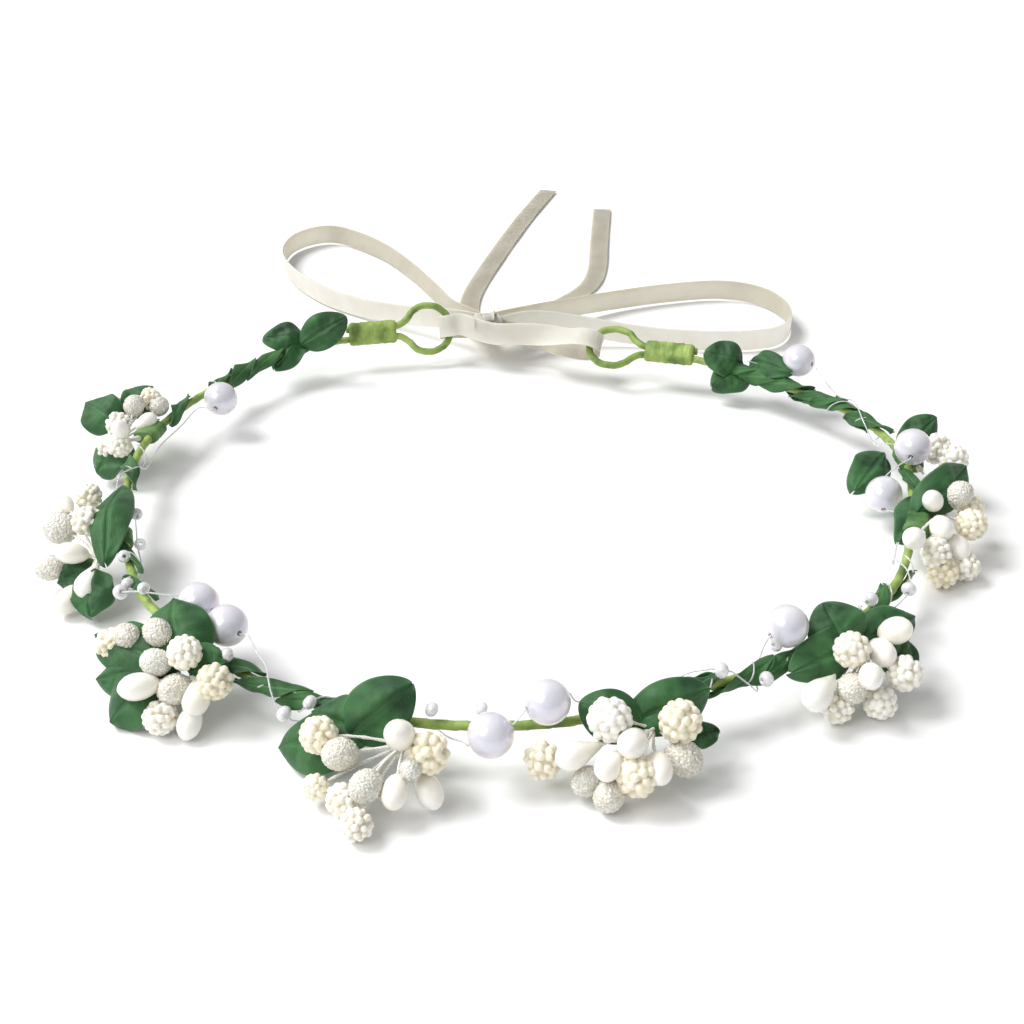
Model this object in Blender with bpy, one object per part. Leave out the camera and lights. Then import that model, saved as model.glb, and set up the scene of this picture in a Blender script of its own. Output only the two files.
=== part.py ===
"""Flower crown: a taped wire hoop with berry sprays, cloth leaves, beads on a clear thread and a ribbon bow.

Metres, +Z up. The crown lies on a table at z = 0 with its opening at +Y (the back of the head). The origin
is on the table, under the middle of the crown without its ribbon. Bearings run round the hoop in degrees:
0 is the front (-Y), +90 is +X, -90 is -X and the opening is round 180.
"""

import math

import bmesh
import bpy
import numpy as np
from mathutils import Vector

for old in list(bpy.data.objects):
    bpy.data.objects.remove(old, do_unlink=True)

MM = 0.001

# ---------------------------------------------------------------- driving sizes
HOOP_RADIUS = 90 * MM            # to the middle of the stem, all round the head
HOOP_HEIGHT = 9 * MM             # of the stem above the table, held up by the berries
HOOP_MIDDLE = Vector((-2.0 * MM, 10.5 * MM, 0.0))   # puts the crown's outline over the origin
GAP = 0.3 * MM                   # between neighbouring pieces

WIRE_RADIUS = 0.45 * MM          # bare steel core
STEM_RADIUS = 1.2 * MM           # wire with its paper tape
STEM_SIDES = 6
STEM_STEP = 7 * MM             # between the stem's sections

EYELET_RADIUS = 6.5 * MM         # to the middle of the wire
EYELET_WRAP_LENGTH = 13 * MM
WRAP_WALL = 0.5 * MM             # thickness of a wound tape sleeve
SPRAY_WRAP_LENGTH = 7 * MM
SPRAY_ROD_RADIUS = 0.8 * MM      # bundle of stamen wires lying along the stem
LEAFY_WRAP_WALL = 0.55 * MM
LEAFY_WRAP_RIPPLE = 0.2 * MM     # the twist standing out of a leafy wrap
LEAFY_WRAP_PITCH = 9 * MM

BERRY_RADIUS = 3.1 * MM          # a full-size mulberry head
BERRY_STALK_RADIUS = 0.45 * MM
LEAF_THICKNESS = 0.5 * MM

THREAD_RADIUS = 0.25 * MM        # clear nylon
PEARL_RADIUS = 4.25 * MM
SEED_RADIUS = 1.6 * MM
BEAD_BORE_RADIUS = 0.62 * MM
THREAD_STEP = 3.2 * MM

RIBBON_WIDTH = 6 * MM
RIBBON_THICKNESS = 0.5 * MM
RIBBON_STEP = 6 * MM             # between a loop's or a tail's sections
RIBBON_BAND_STEP = 2.2 * MM      # closer, to bend round the eyelets' wire
KNOT_SIZE = (6.5 * MM, 5.5 * MM, 8.0 * MM)

# ---------------------------------------------------------------- design tables
# The stem's gentle bends by hand: bearing, millimetres out of the round, millimetres up.
STEM_BENDS = [(-145, 5, 0), (-136, 4, 0), (-126, 2, 0), (-114, 0, 1), (-100, -1, 1), (-84, -3, 0),
              (-68, -3, 0), (-54, -1, 1), (-38, -1, 0), (-24, 0, -1), (-8, 1, 0), (8, 0, 0), (22, -2, 1),
              (36, -1, 0), (50, 1, 1), (64, 2, 0), (80, 2, 0), (96, 5, 1), (110, 4, 1), (122, 1, 0),
              (134, -2, 0), (141, -3, 0)]

# Each eyelet: bearing, out, up of its middle; bearing, out of the neck; lean from upright in degrees.
EYELETS = {"left": ((-166, 1, 1), (-153, 4.5), 30), "right": ((159, -9, 1), (147, -5), 65)}

# Berry heads: kind, along, out, up (mm, from the nominal hoop at the spray's bearing), size.
SPRAYS = {
    "spray_1_left_back": (-106, [
        ("mulberry", -11, 11, 4, 0.85), ("sugared", -5, 13, 4, 0.85), ("bud", -1, 16, 0, 0.9),
        ("mulberry", 2, 8, 3, 0.9), ("sugared", -3, 6, 6, 0.85), ("mulberry", -9, 5, 5, 0.85),
        ("bud", 8, 4, 5, 0.9), ("bud", 3, 11, -6, 0.95), ("mulberry", 8, 8, 0, 0.85)]),
    "spray_2_left": (-74, [
        ("sugared", -5, 10, 2, 1.2), ("sugared", 3, 13, -3, 0.95), ("bud", 5, 8, 1, 1.0),
        ("teardrop", 12, 5, -2, 1.1), ("mulberry", -10, 3, 6, 0.85), ("mulberry", -1, 4, 5, 0.95),
        ("bud", 13, 10, -6, 1.0), ("bud", -8, 8, 6, 0.7)]),
    "spray_3_left_front": (-41, [
        ("mulberry", -14, 11, 2, 0.85), ("sugared", -11, 9, 4, 0.85), ("sugared", -5, 6, 6, 0.9),
        ("sugared", -1, 10, 3, 0.9), ("mulberry", 3, 6, 5, 0.95), ("bud", -3, 12, -2, 1.1),
        ("sugared", 4, 10, -1, 1.0), ("mulberry", 4, 14, -6, 0.95), ("bud", 9, 11, -6, 0.95),
        ("bud", 8, 8, -2, 1.1), ("mulberry", 10, 5, 1, 1.0)]),
    "spray_4_front_left": (-14, [
        ("mulberry", -9, 11, 2, 1.0), ("sugared", -4, 14, 1, 1.0), ("bud", 6, 10, 4, 1.15),
        ("mulberry", 11, 10, 1, 1.1), ("bud", 12, 13, -5, 1.0), ("bud", 7, 17, -3, 1.0),
        ("sugared", 2, 18, -2, 1.0), ("mulberry", -8, 17, -5, 0.7), ("mulberry", -2, 19, -5, 0.9),
        ("mulberry", 2, 24, -6, 0.85), ("sugared", 9, 14, 0, 0.65)]),
    "spray_5_front_right": (13, [
        ("mulberry", -15, 6, -3, 1.0), ("teardrop", -9, 9, 0, 1.1), ("mulberry", -3, 7, 5, 1.15),
        ("bud", 0, 12, 3, 1.1), ("teardrop", -4, 13, 0, 1.0), ("mulberry", 10, 8, 3, 1.15),
        ("sugared", 10, 11, -3, 1.1), ("sugared", -8, 11, -5, 0.9), ("sugared", -5, 15, -6, 0.95),
        ("mulberry", 0, 15, -2, 1.1), ("bud", 4, 15, -1, 1.0)]),
    "spray_6_right_front": (45, [
        ("mulberry", -4, 8, 4, 1.0), ("bud", 6, 11, 5, 1.1), ("bud", 2, 11, 2, 1.1),
        ("bud", -6, 14, 2, 0.95), ("teardrop", -13, 8, -1, 1.2), ("sugared", -7, 11, -2, 1.0),
        ("mulberry", -10, 10, -6, 0.9), ("mulberry", -3, 15, -6, 0.95), ("mulberry", 3, 16, -1, 1.0)]),
    "spray_7_right": (79, [
        ("bud", 2, 6, 5, 0.95), ("sugared", 8, 12, 4, 1.0), ("bud", -4, 8, 2, 1.1),
        ("mulberry", 2, 15, 0, 1.0), ("bud", -5, 12, -2, 1.0), ("teardrop", -3, 6, -5, 1.0),
        ("mulberry", -10, 7, -1, 0.95), ("mulberry", -11, 9, -6, 0.95), ("mulberry", -7, 14, -6, 0.9)]),
    "spray_8_right_back": (96.5, [
        ("mulberry", 1, 13, 3, 1.05), ("mulberry", -3, 16, 2, 1.0)]),
}

# Leaves: bearing, root and tip as (along, out, up), width, and which way the blade faces.
LEAVES = {
    "leaf_1_behind": (-106, (2, 11, 3), (-3, 19, 5), 9, (0.7, -0.3, 0.6)),
    "leaf_1_low": (-106, (5, 4.5, -2), (13, 9, -7), 8.5, (0.6, 0.1, 0.8)),
    "leaf_2_inner": (-74, (12, 0, 2), (-13, -6, 6), 7.5, (0.8, 0.3, 0.6)),
    "leaf_2_low": (-74, (11, 5, 3), (20, 7, -4), 8.5, (0.6, 0.4, 0.7)),
    "leaf_3_top": (-41, (-1.5, 2.5, 3.5), (-8.5, -2, 9), 12, (0.5, 0.7, 0.6)),
    "leaf_3_side": (-41, (0.5, 4.5, -2), (-20, 9, -1), 9.5, (0.5, 0.5, 0.8)),
    "leaf_3_low": (-41, (-5, 3, -5), (-7, 19, -8), 12, (0.0, 0.2, 1.0)),
    "leaf_4_low": (-14, (-4, 7, -1), (-18.5, 8, -5), 10, (0.3, 0.6, 0.8)),
    "leaf_4_top": (-14, (-3.5, 7, 1.5), (5.5, 0.5, 9), 12, (0.2, 0.8, 0.5)),
    "leaf_5_top": (13, (2, 4, 2.5), (-7, 0, 5.5), 8.5, (-0.2, 0.7, 0.6)),
    "leaf_5_right": (13, (6, 3, 2), (18, 1.5, 4.5), 8.5, (-0.1, 0.7, 0.6)),
    "leaf_6_top": (45, (-1.5, 5.5, 3), (-1, -1.5, 9.5), 10, (-0.6, 0.7, 0.5)),
    "leaf_6_right": (45, (7, 7, 2), (16, 9.5, 3), 8.5, (-0.5, 0.5, 0.7)),
    "leaf_7_behind": (79, (4.5, 1.5, 2.5), (18.5, 12.5, 6), 8.5, (-0.8, 0.3, 0.5)),
    "leaf_7_inner": (79, (4, 0, -4), (-5, -2, -4), 8.5, (-0.8, 0.1, 0.6)),
    "leaf_8_top": (96.5, (4, 5, 5), (5.5, 14, 11), 7, (-0.9, 0.0, 0.5)),
    "leaf_8_inner": (96.5, (4, 1.5, 1), (-8, -9, -2), 8.5, (-0.7, 0.0, 0.7)),
    "leaf_9_side": (-145, (-0.5, 5, 5), (11, 9.5, 6), 7.5, (0.5, -0.5, 0.7)),
    "leaf_9_top": (-145, (3, 3.5, 3), (-9, -1.5, 9.5), 8.5, (0.4, -0.8, 0.5)),
    "leaf_10_inner": (137, (-2.5, 0, 4), (5, -7.5, 7), 8.5, (-0.5, -0.6, 0.6)),
    "leaf_10_outer": (137, (-2.5, 2.5, 4), (-17.5, -1, 6), 5.5, (-0.4, -0.7, 0.6)),
}

# The thread by hand: bearing, then out and up from the stem's middle; a bead's name where one sits.
THREAD_ROUTE = [
    (-124, 0, 2.2, ""), (-121, -6, 0.5, "pearl_1_left_back"), (-117, -3.0, -0.5, ""),
    (-112, -2.5, -2.0, ""), (-104, -2.5, -2.0, ""), (-97, -2.5, -2.0, ""), (-93, -1.8, 1.8, ""),
    (-90, 1.8, 1.8, ""), (-87, 1.8, -1.8, ""), (-84, -1.8, -1.8, ""), (-80, -2.5, -2.0, ""),
    (-74, -2.5, -2.2, ""), (-68, -2.5, -2.2, ""), (-64, -1.0, -2.8, ""), (-61.5, 2.2, -1.8, ""),
    (-58.5, 3.9, 1.0, "seed_1_left"), (-55, 1.5, 3.2, ""), (-51.5, -3.8, 3.0, ""),
    (-48, -6.2, 3.0, "pearl_2_left_front"), (-41, -5.6, 3.2, "pearl_3_left_front"),
    (-36.5, -5.5, 4.0, ""), (-34, -4.0, 2.5, ""), (-31, -1.5, 3.2, ""), (-28.5, 2.4, 2.4, ""),
    (-26, 4.0, -1.0, "seed_2_left_front"), (-23.5, 1.5, -3.0, ""), (-21, -2.5, -2.2, ""),
    (-14, -2.6, -2.4, ""), (-9, -2.4, -2.2, ""), (-6.5, 0, -2.8, ""), (-4.5, 3.5, -1.0, ""),
    (-1.4, 5.7, 2.4, "pearl_4_front"), (4.9, 2.0, 6.4, "pearl_5_front"), (8.5, -1.0, 3.6, ""),
    (10.5, -3.0, 0.8, ""), (13, -2.8, -2.2, ""), (19, -2.5, -2.2, ""), (23, -2.0, 2.2, ""),
    (27, 1.5, 4.0, "seed_3_right_front"), (30, 3.4, 1.0, ""), (32, 2.6, -2.2, ""), (34, -2.2, -2.4, ""),
    (35.5, -3.2, 2.0, ""), (38.7, -2.2, 6.6, "pearl_6_right_front"), (42.3, -3.2, 3.8, ""),
    (44.5, -3.4, -0.5, ""), (48, -2.6, -2.2, ""), (53, -1.0, -2.8, ""), (57, 2.4, -1.2, ""),
    (60.5, 3.6, 1.4, "seed_4_right"), (64, 1.2, 2.8, ""), (67, -2.2, 1.6, ""), (70, -2.6, -2.2, ""),
    (79, -2.6, -2.4, ""), (84, -3.6, -2.2, ""), (88, -6.2, -1.2, "pearl_7_right"),
    (91, -4.0, 3.0, ""), (93, 0.2, 6.6, "pearl_8_right"), (96.5, -1.4, 4.2, ""), (100, -3.0, 1.5, ""),
    (104, -2.0, -2.2, ""), (107, -2.4, 1.4, ""), (112, 0, 3.4, ""), (117, 3.0, 1.2, ""),
    (121, 4.2, 3.4, ""), (127, 6.0, 5.4, "pearl_9_right_back"), (132, 3.6, 2.4, ""), (134.5, 1.2, 3.0, "")]

# The ribbon by hand, run by run: x, y from the hoop's middle, z above the table (mm), and how far its
# width leans from upright (degrees) towards the run's own direction. Every run ends inside the knot.
KNOT = (-5.0, 87.5, 11.0)
KNOT_WIDTHWAYS = (0.0, 0.3, 0.95)
# round an eyelet's rim: (toward the other eyelet, through the hole)
RIBBON_TURN = [(13, -2.6), (9.2, -3.2), (5.8, -2.8), (3.5, -1.1), (3.5, 1.1), (5.8, 2.8), (9.2, 3.2), (13, 2.6)]
BAND_IN_FRONT = [(-4, 83.0, 10.8), (5, 81.0, 11.5)]      # from the left eyelet to the right one
BAND_BEHIND = [(10, 84.5, 8.5), (2, 87.0, 9.3), (-3.6, 87.8, 10.1)]    # from the right one to the knot
RIBBON_RUNS = {
    "tail_left": ((1.0, 0.0), [
        (-5.6, 87.3, 10.3, 58), (-8, 96, 9, 80), (-10.5, 107, 3.5, 90), (-11.5, 120, 0.9, 90),
        (-11, 134, 0.6, 90), (-8, 150, 0.6, 90), (-3.5, 169, 0.6, 90), (1.5, 189, 0.6, 90),
        (7.5, 211, 0.6, 90), (14.5, 234, 0.6, 90)]),
    "loop_left": ((0.0, 1.0), [
        (-4.3, 86.9, 10.7, 4), (-10, 97, 9.5, 3), (-16, 112, 6, 0), (-22, 130, 4, 0), (-31, 150, 3.6, 0),
        (-43, 169, 3.6, 0), (-58, 181, 3.6, 0), (-69, 174, 3.6, 0), (-71.5, 159, 3.6, 0), (-66, 143, 3.6, 0),
        (-55, 128, 3.6, 0), (-42, 117, 4, 0), (-28, 107, 6, 0), (-15, 97, 9.3, -3), (-6.4, 88.0, 11.4, -5)]),
    "loop_right": ((0.0, 1.0), [
        (-5.4, 88.6, 11.2, 7), (3, 98, 9.2, 5), (14, 111, 6, 0), (30, 122.5, 4, 0), (49, 130, 3.6, 0),
        (66, 132.5, 3.6, 0), (78, 126, 3.6, 0), (83, 112, 3.6, 0), (79.5, 100, 3.6, 0), (70, 95, 3.6, 0),
        (52, 95, 3.6, 0), (36, 98, 4, 0), (20, 99, 6.5, 0), (7, 95, 9.7, -4), (-3.9, 87.0, 10.9, -8)]),
    "tail_right": ((1.0, -0.4), [
        (-4.4, 87.7, 10.6, 50), (-1.5, 97, 8.5, 80), (4, 110, 3, 90), (10.5, 122, 0.9, 90),
        (18, 131, 0.6, 90), (25, 142, 0.6, 90), (28.5, 156, 0.6, 90), (30, 175, 0.6, 90),
        (31.5, 195, 0.6, 90), (33, 214, 0.6, 90)]),
}


# ---------------------------------------------------------------- geometry helpers
def direction(bearing):
    """The level outward and clockwise unit vectors at a bearing."""
    turn = math.radians(bearing)
    out = Vector((math.sin(turn), -math.cos(turn), 0.0))
    along = Vector((math.cos(turn), math.sin(turn), 0.0))
    return out, along


def place(bearing, along_mm, out_mm, up_mm):
    """A point measured from the nominal round hoop."""
    out, along = direction(bearing)
    level = HOOP_MIDDLE + out * (HOOP_RADIUS + out_mm * MM) + along * (along_mm * MM)
    return level + Vector((0.0, 0.0, HOOP_HEIGHT + up_mm * MM))


def smooth_points(points, step):
    """Points a step apart on the smooth curve through hand-chosen points of any number of values."""
    knots = np.array([list(p) for p in points], dtype=float)
    ends = [2 * knots[0] - knots[1], *knots, 2 * knots[-1] - knots[-2]]
    fine = []
    for a, b, c, d in zip(ends, ends[1:], ends[2:], ends[3:]):
        for t in np.linspace(0.0, 1.0, 12, endpoint=False):
            fine.append(0.5 * (2 * b + (c - a) * t + (2 * a - 5 * b + 4 * c - d) * t * t
                               + (3 * b - a - 3 * c + d) * t ** 3))
    fine.append(knots[-1])
    fine = np.array(fine)
    legs = np.linalg.norm(np.diff(fine[:, :3], axis=0), axis=1)
    run = np.concatenate([[0.0], np.cumsum(legs)])
    count = max(2, round(run[-1] / step) + 1)
    stops = np.linspace(0.0, run[-1], count)
    return [np.array([np.interp(s, run, fine[:, k]) for k in range(fine.shape[1])]) for s in stops]


def tangents(points):
    """A unit direction at each point of a polyline."""
    found = []
    for i in range(len(points)):
        before = points[max(i - 1, 0)]
        after = points[min(i + 1, len(points) - 1)]
        found.append((after - before).normalized())
    return found


def carried_frames(points, first_up):
    """Each point with a sideways and an upward vector, carried along the path without twisting."""
    frames = []
    up = first_up
    for point, ahead in zip(points, tangents(points)):
        up = (up - ahead * up.dot(ahead)).normalized()
        frames.append((point, ahead.cross(up).normalized(), up))
    return frames


def circle(radius, sides, phase=0.0):
    """A round outline as (sideways, upward) pairs."""
    turns = [2 * math.pi * i / sides + phase for i in range(sides)]
    return [(radius * math.cos(t), radius * math.sin(t)) for t in turns]


def slot_outline(half_length, radius, sides_per_end=5):
    """A slot with round ends, long way sideways, as (sideways, upward) pairs."""
    pairs = []
    for end in (0, 1):
        middle = half_length if end == 0 else -half_length
        for i in range(sides_per_end):
            turn = math.pi * (end - 0.5 + i / (sides_per_end - 1))
            pairs.append((middle + radius * math.cos(turn), radius * math.sin(turn)))
    return pairs


def ring_of(mesh, frame, outline):
    """The outline's vertices at one frame."""
    point, side, up = frame
    return [mesh.verts.new(point + side * a + up * b) for a, b in outline]


def skin(mesh, ring_a, ring_b, thin=False):
    """Faces between two rings; a thin strip's two sides get matching triangles, so they can't cross."""
    count = len(ring_a)
    for i in range(count):
        j = (i + 1) % count
        if not thin:
            mesh.faces.new((ring_a[i], ring_a[j], ring_b[j], ring_b[i]))
        elif i < count // 2:
            mesh.faces.new((ring_a[i], ring_a[j], ring_b[j]))
            mesh.faces.new((ring_a[i], ring_b[j], ring_b[i]))
        else:
            mesh.faces.new((ring_a[i], ring_a[j], ring_b[i]))
            mesh.faces.new((ring_a[j], ring_b[j], ring_b[i]))


def loft(frames, outlines, bores=None, thin=False):
    """A closed mesh along the frames, one outline each, hollow right through where bores are given."""
    mesh = bmesh.new()
    outer = [ring_of(mesh, f, o) for f, o in zip(frames, outlines)]
    for a, b in zip(outer, outer[1:]):
        skin(mesh, a, b, thin)
    if bores:
        inner = [ring_of(mesh, f, o) for f, o in zip(frames, bores)]
        for a, b in zip(inner, inner[1:]):
            skin(mesh, a, b)
        skin(mesh, outer[0], inner[0])
        skin(mesh, outer[-1], inner[-1])
    else:
        mesh.faces.new(outer[0])
        mesh.faces.new(outer[-1])
    bmesh.ops.recalc_face_normals(mesh, faces=mesh.faces)
    return mesh


def material(name, colour, roughness, metallic=0.0):
    """One Principled material."""
    made = bpy.data.materials.new(name)
    made.use_nodes = True
    shader = made.node_tree.nodes["Principled BSDF"]
    shader.inputs["Base Color"].default_value = (*colour, 1.0)
    shader.inputs["Roughness"].default_value = roughness
    shader.inputs["Metallic"].default_value = metallic
    return made


MATERIALS = {
    "steel": material("steel_wire", (0.55, 0.55, 0.55), 0.35, 1.0),
    "tape": material("green_stem_tape", (0.30, 0.48, 0.08), 0.75),
    "leafy_tape": material("dark_leafy_tape", (0.03, 0.17, 0.06), 0.7),
    "leaf": material("cloth_leaf", (0.015, 0.13, 0.055), 0.6),
    "berry": material("cream_berry", (0.88, 0.84, 0.74), 0.35),
    "pearl": material("pearl", (0.93, 0.91, 0.93), 0.15),
    "seed": material("clear_seed_bead", (0.9, 0.9, 0.93), 0.1),
    "thread": material("clear_thread", (0.88, 0.88, 0.88), 0.3),
    "ribbon": material("cream_ribbon", (0.82, 0.77, 0.66), 0.45),
}


def make_object(name, mesh, finish, origin=None, sharp_degrees=35):
    """A smooth-shaded object from a bmesh, with its origin where it turns if one is given."""
    if origin is not None:
        bmesh.ops.translate(mesh, verts=mesh.verts, vec=-origin)
    data = bpy.data.meshes.new(name)
    mesh.to_mesh(data)
    mesh.free()
    data.materials.append(MATERIALS[finish])
    data.shade_smooth()
    data.set_sharp_from_angle(angle=math.radians(sharp_degrees))
    made = bpy.data.objects.new(name, data)
    if origin is not None:
        made.location = origin
    bpy.context.scene.collection.objects.link(made)
    return made


# ---------------------------------------------------------------- the hoop and its two eyelets
def eyelet_axes(side):
    """An eyelet's middle, the level way from its neck to it, and the way it leans up."""
    (bearing, out_mm, up_mm), (neck_bearing, neck_out), lean = EYELETS[side]
    middle = place(bearing, 0, out_mm, up_mm)
    neck = place(neck_bearing, 0, neck_out, up_mm)
    forward = (middle - neck).normalized()
    back = forward.cross(Vector((0, 0, 1)))
    if back.dot(middle - HOOP_MIDDLE) < 0:
        back = -back
    tilt = math.radians(lean)
    return middle, forward, Vector((0, 0, 1)) * math.cos(tilt) + back * math.sin(tilt)


WIRES_APART = 2 * STEM_RADIUS + GAP + 0.1 * MM     # the stem and the returned end, side by side
WRAP_START = EYELET_RADIUS + 2.5 * MM              # where an eyelet's wrap begins, from its middle
WRAP_END = WRAP_START + EYELET_WRAP_LENGTH


def eyelet_path(side):
    """From the returned end, round the loop, to the stem where it leaves the wrap."""
    middle, forward, upward = eyelet_axes(side)
    half = WIRES_APART / 2
    path = [middle - forward * s + upward * half for s in (WRAP_END + 0.8 * MM, WRAP_END - 5 * MM, WRAP_START)]
    for degrees in range(-28, -333, -19):
        turn = math.radians(180 + degrees)
        path.append(middle + forward * (EYELET_RADIUS * math.cos(turn))
                    + upward * (EYELET_RADIUS * math.sin(turn)))
    path += [middle - forward * s - upward * half for s in (WRAP_START, WRAP_END - 5 * MM, WRAP_END + 0.8 * MM)]
    return path


def stem_path():
    """The whole wire: the left loop, round the hoop, and the right loop, as closely spaced points."""
    left = eyelet_path("left")
    right = list(reversed(eyelet_path("right")))
    bends = [place(bearing, 0, out, up) for bearing, out, up in STEM_BENDS]
    round_hoop = smooth_points([left[-2], left[-1], *bends, right[0], right[1]], STEM_STEP)
    round_hoop = [Vector(p) for p in round_hoop]
    near_left = (left[-1] - left[-2]).length
    near_right = (right[1] - right[0]).length
    kept = [p for p in round_hoop
            if (p - left[-2]).length > near_left + 2 * MM and (p - right[1]).length > near_right + 2 * MM]
    loop_left = left[:3] + [Vector(p) for p in smooth_points(left[3:-3], 2.6 * MM)] + left[-3:]
    loop_right = right[:3] + [Vector(p) for p in smooth_points(right[3:-3], 2.6 * MM)] + right[-3:]
    return loop_left + kept + loop_right, kept


STEM_POINTS, HOOP_POINTS = stem_path()


def shortened(points, by):
    """The path with both of its ends drawn in."""
    first = points[0] + (points[1] - points[0]).normalized() * by
    last = points[-1] + (points[-2] - points[-1]).normalized() * by
    return [first, *points[1:-1], last]


def make_stem():
    """The paper tape is a tube, and the steel core runs inside it and shows at both cut ends."""
    up = eyelet_axes("left")[2]
    frames = carried_frames(STEM_POINTS, up)
    outer = circle(STEM_RADIUS, STEM_SIDES)
    bore = circle(WIRE_RADIUS + GAP, STEM_SIDES)
    taped = carried_frames(shortened(STEM_POINTS, 0.5 * MM), up)
    tape = loft(taped, [outer] * len(taped), [bore] * len(taped))
    make_object("hoop_tape", tape, "tape")
    wire = circle(WIRE_RADIUS, STEM_SIDES)
    make_object("core_wire", loft(frames, [wire] * len(frames)), "steel")


def bearing_of(point):
    """The bearing of a point round the hoop's middle, in degrees."""
    level = point - HOOP_MIDDLE
    return math.degrees(math.atan2(level.x, -level.y))


HOOP_BEARINGS = [bearing_of(p) for p in HOOP_POINTS]


def hoop_point(bearing):
    """The middle of the stem at a bearing."""
    return Vector([float(np.interp(bearing, HOOP_BEARINGS, [p[k] for p in HOOP_POINTS])) for k in range(3)])


def near_hoop(bearing, out_mm, up_mm):
    """A point measured from the middle of the stem as it really runs."""
    out = direction(bearing)[0]
    return hoop_point(bearing) + out * (out_mm * MM) + Vector((0, 0, up_mm * MM))


def hoop_frames(start, end):
    """Frames on the stem between two bearings, at its own sections, sideways pointing out of the hoop."""
    inside = [b for b in HOOP_BEARINGS if start + 0.5 < b < end - 0.5]
    points = [hoop_point(b) for b in [start, *inside, end]]
    frames = []
    for point, ahead in zip(points, tangents(points)):
        side = direction(bearing_of(point))[0]
        side = (side - ahead * side.dot(ahead)).normalized()
        frames.append((point, side, side.cross(ahead).normalized()))
    return frames


def make_eyelet_wraps():
    """Tape wound over the stem and the returned end, below each eyelet."""
    half = WIRES_APART / 2
    hole = slot_outline(half, STEM_RADIUS + GAP + 0.05 * MM)
    for side in EYELETS:
        middle, forward, upward = eyelet_axes(side)
        across = forward.cross(upward).normalized()
        frames = []
        shell = []
        for share in (0.0, 0.15, 0.5, 0.85, 1.0):
            frames.append((middle - forward * (WRAP_START + share * EYELET_WRAP_LENGTH), upward, across))
            swell = 1.0 if 0.1 < share < 0.9 else 0.75
            shell.append(slot_outline(half, STEM_RADIUS + GAP + 0.05 * MM + WRAP_WALL * swell))
        make_object(f"{side}_eyelet_wrap", loft(frames, shell, [hole] * len(frames)), "tape")


# ---------------------------------------------------------------- leafy wraps round the bare stem
LEAFY_WRAPS = {"leafy_wrap_left_back": (-145, -126), "leafy_wrap_left_front": (-34, -22),
               "leafy_wrap_right_front": (25.5, 35.5), "leafy_wrap_right_back": (108, 138)}


def make_leafy_wraps():
    """Dark tape twisted round the stem like a rope, two strands showing."""
    sides = 8
    for name, (start, end) in LEAFY_WRAPS.items():
        frames = hoop_frames(start, end)
        run = 0.0
        shell = []
        for i, frame in enumerate(frames):
            if i:
                run += (frame[0] - frames[i - 1][0]).length
            twist = math.tau * run / (2 * LEAFY_WRAP_PITCH)
            radius = STEM_RADIUS + GAP + LEAFY_WRAP_WALL
            shell.append([(math.cos(t) * (radius + LEAFY_WRAP_RIPPLE * math.cos(2 * (t - twist))),
                           math.sin(t) * (radius + LEAFY_WRAP_RIPPLE * math.cos(2 * (t - twist))))
                          for t in (math.tau * k / sides for k in range(sides))])
        hole = circle((STEM_RADIUS + GAP) * 1.03, sides)
        make_object(name, loft(frames, shell, [hole] * len(frames)), "leafy_tape")


# ---------------------------------------------------------------- berry sprays
BERRY_SHAPES = {"mulberry": (1.0, 1.0), "sugared": (0.92, 1.05), "bud": (0.78, 1.15), "teardrop": (0.8, 1.4)}
BERRY_SIDES = 6
ROD_FROM_STEM = STEM_RADIUS + SPRAY_ROD_RADIUS + GAP


def add_lathe(mesh, middle, axis, profile, sides):
    """A closed turned shape: profile pairs are (distance along the axis, radius)."""
    first = axis.orthogonal().normalized()
    second = axis.cross(first)
    rings = []
    for distance, radius in profile:
        rings.append([mesh.verts.new(middle + axis * distance
                                     + (first * math.cos(t) + second * math.sin(t)) * radius)
                      for t in (math.tau * k / sides for k in range(sides))])
    for a, b in zip(rings, rings[1:]):
        skin(mesh, a, b)
    start = mesh.verts.new(middle + axis * profile[0][0])
    finish = mesh.verts.new(middle + axis * profile[-1][0])
    for ring, pole in ((rings[0], start), (rings[-1], finish)):
        for i in range(sides):
            mesh.faces.new((ring[i], ring[(i + 1) % sides], pole))


def berry_profile(kind, size):
    """A berry head's outline, blunt at both poles; a teardrop is narrow at its stalk."""
    width, length = BERRY_SHAPES[kind]
    radius = BERRY_RADIUS * size * width
    reach = BERRY_RADIUS * size * length
    if kind == "teardrop":
        return [(-reach, radius * 0.3), (-reach * 0.3, radius * 0.8), (reach * 0.35, radius),
                (reach, radius * 0.35)]
    return [(-reach, radius * 0.35), (-reach * 0.45, radius * 0.9), (reach * 0.45, radius * 0.9),
            (reach, radius * 0.35)]


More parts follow.
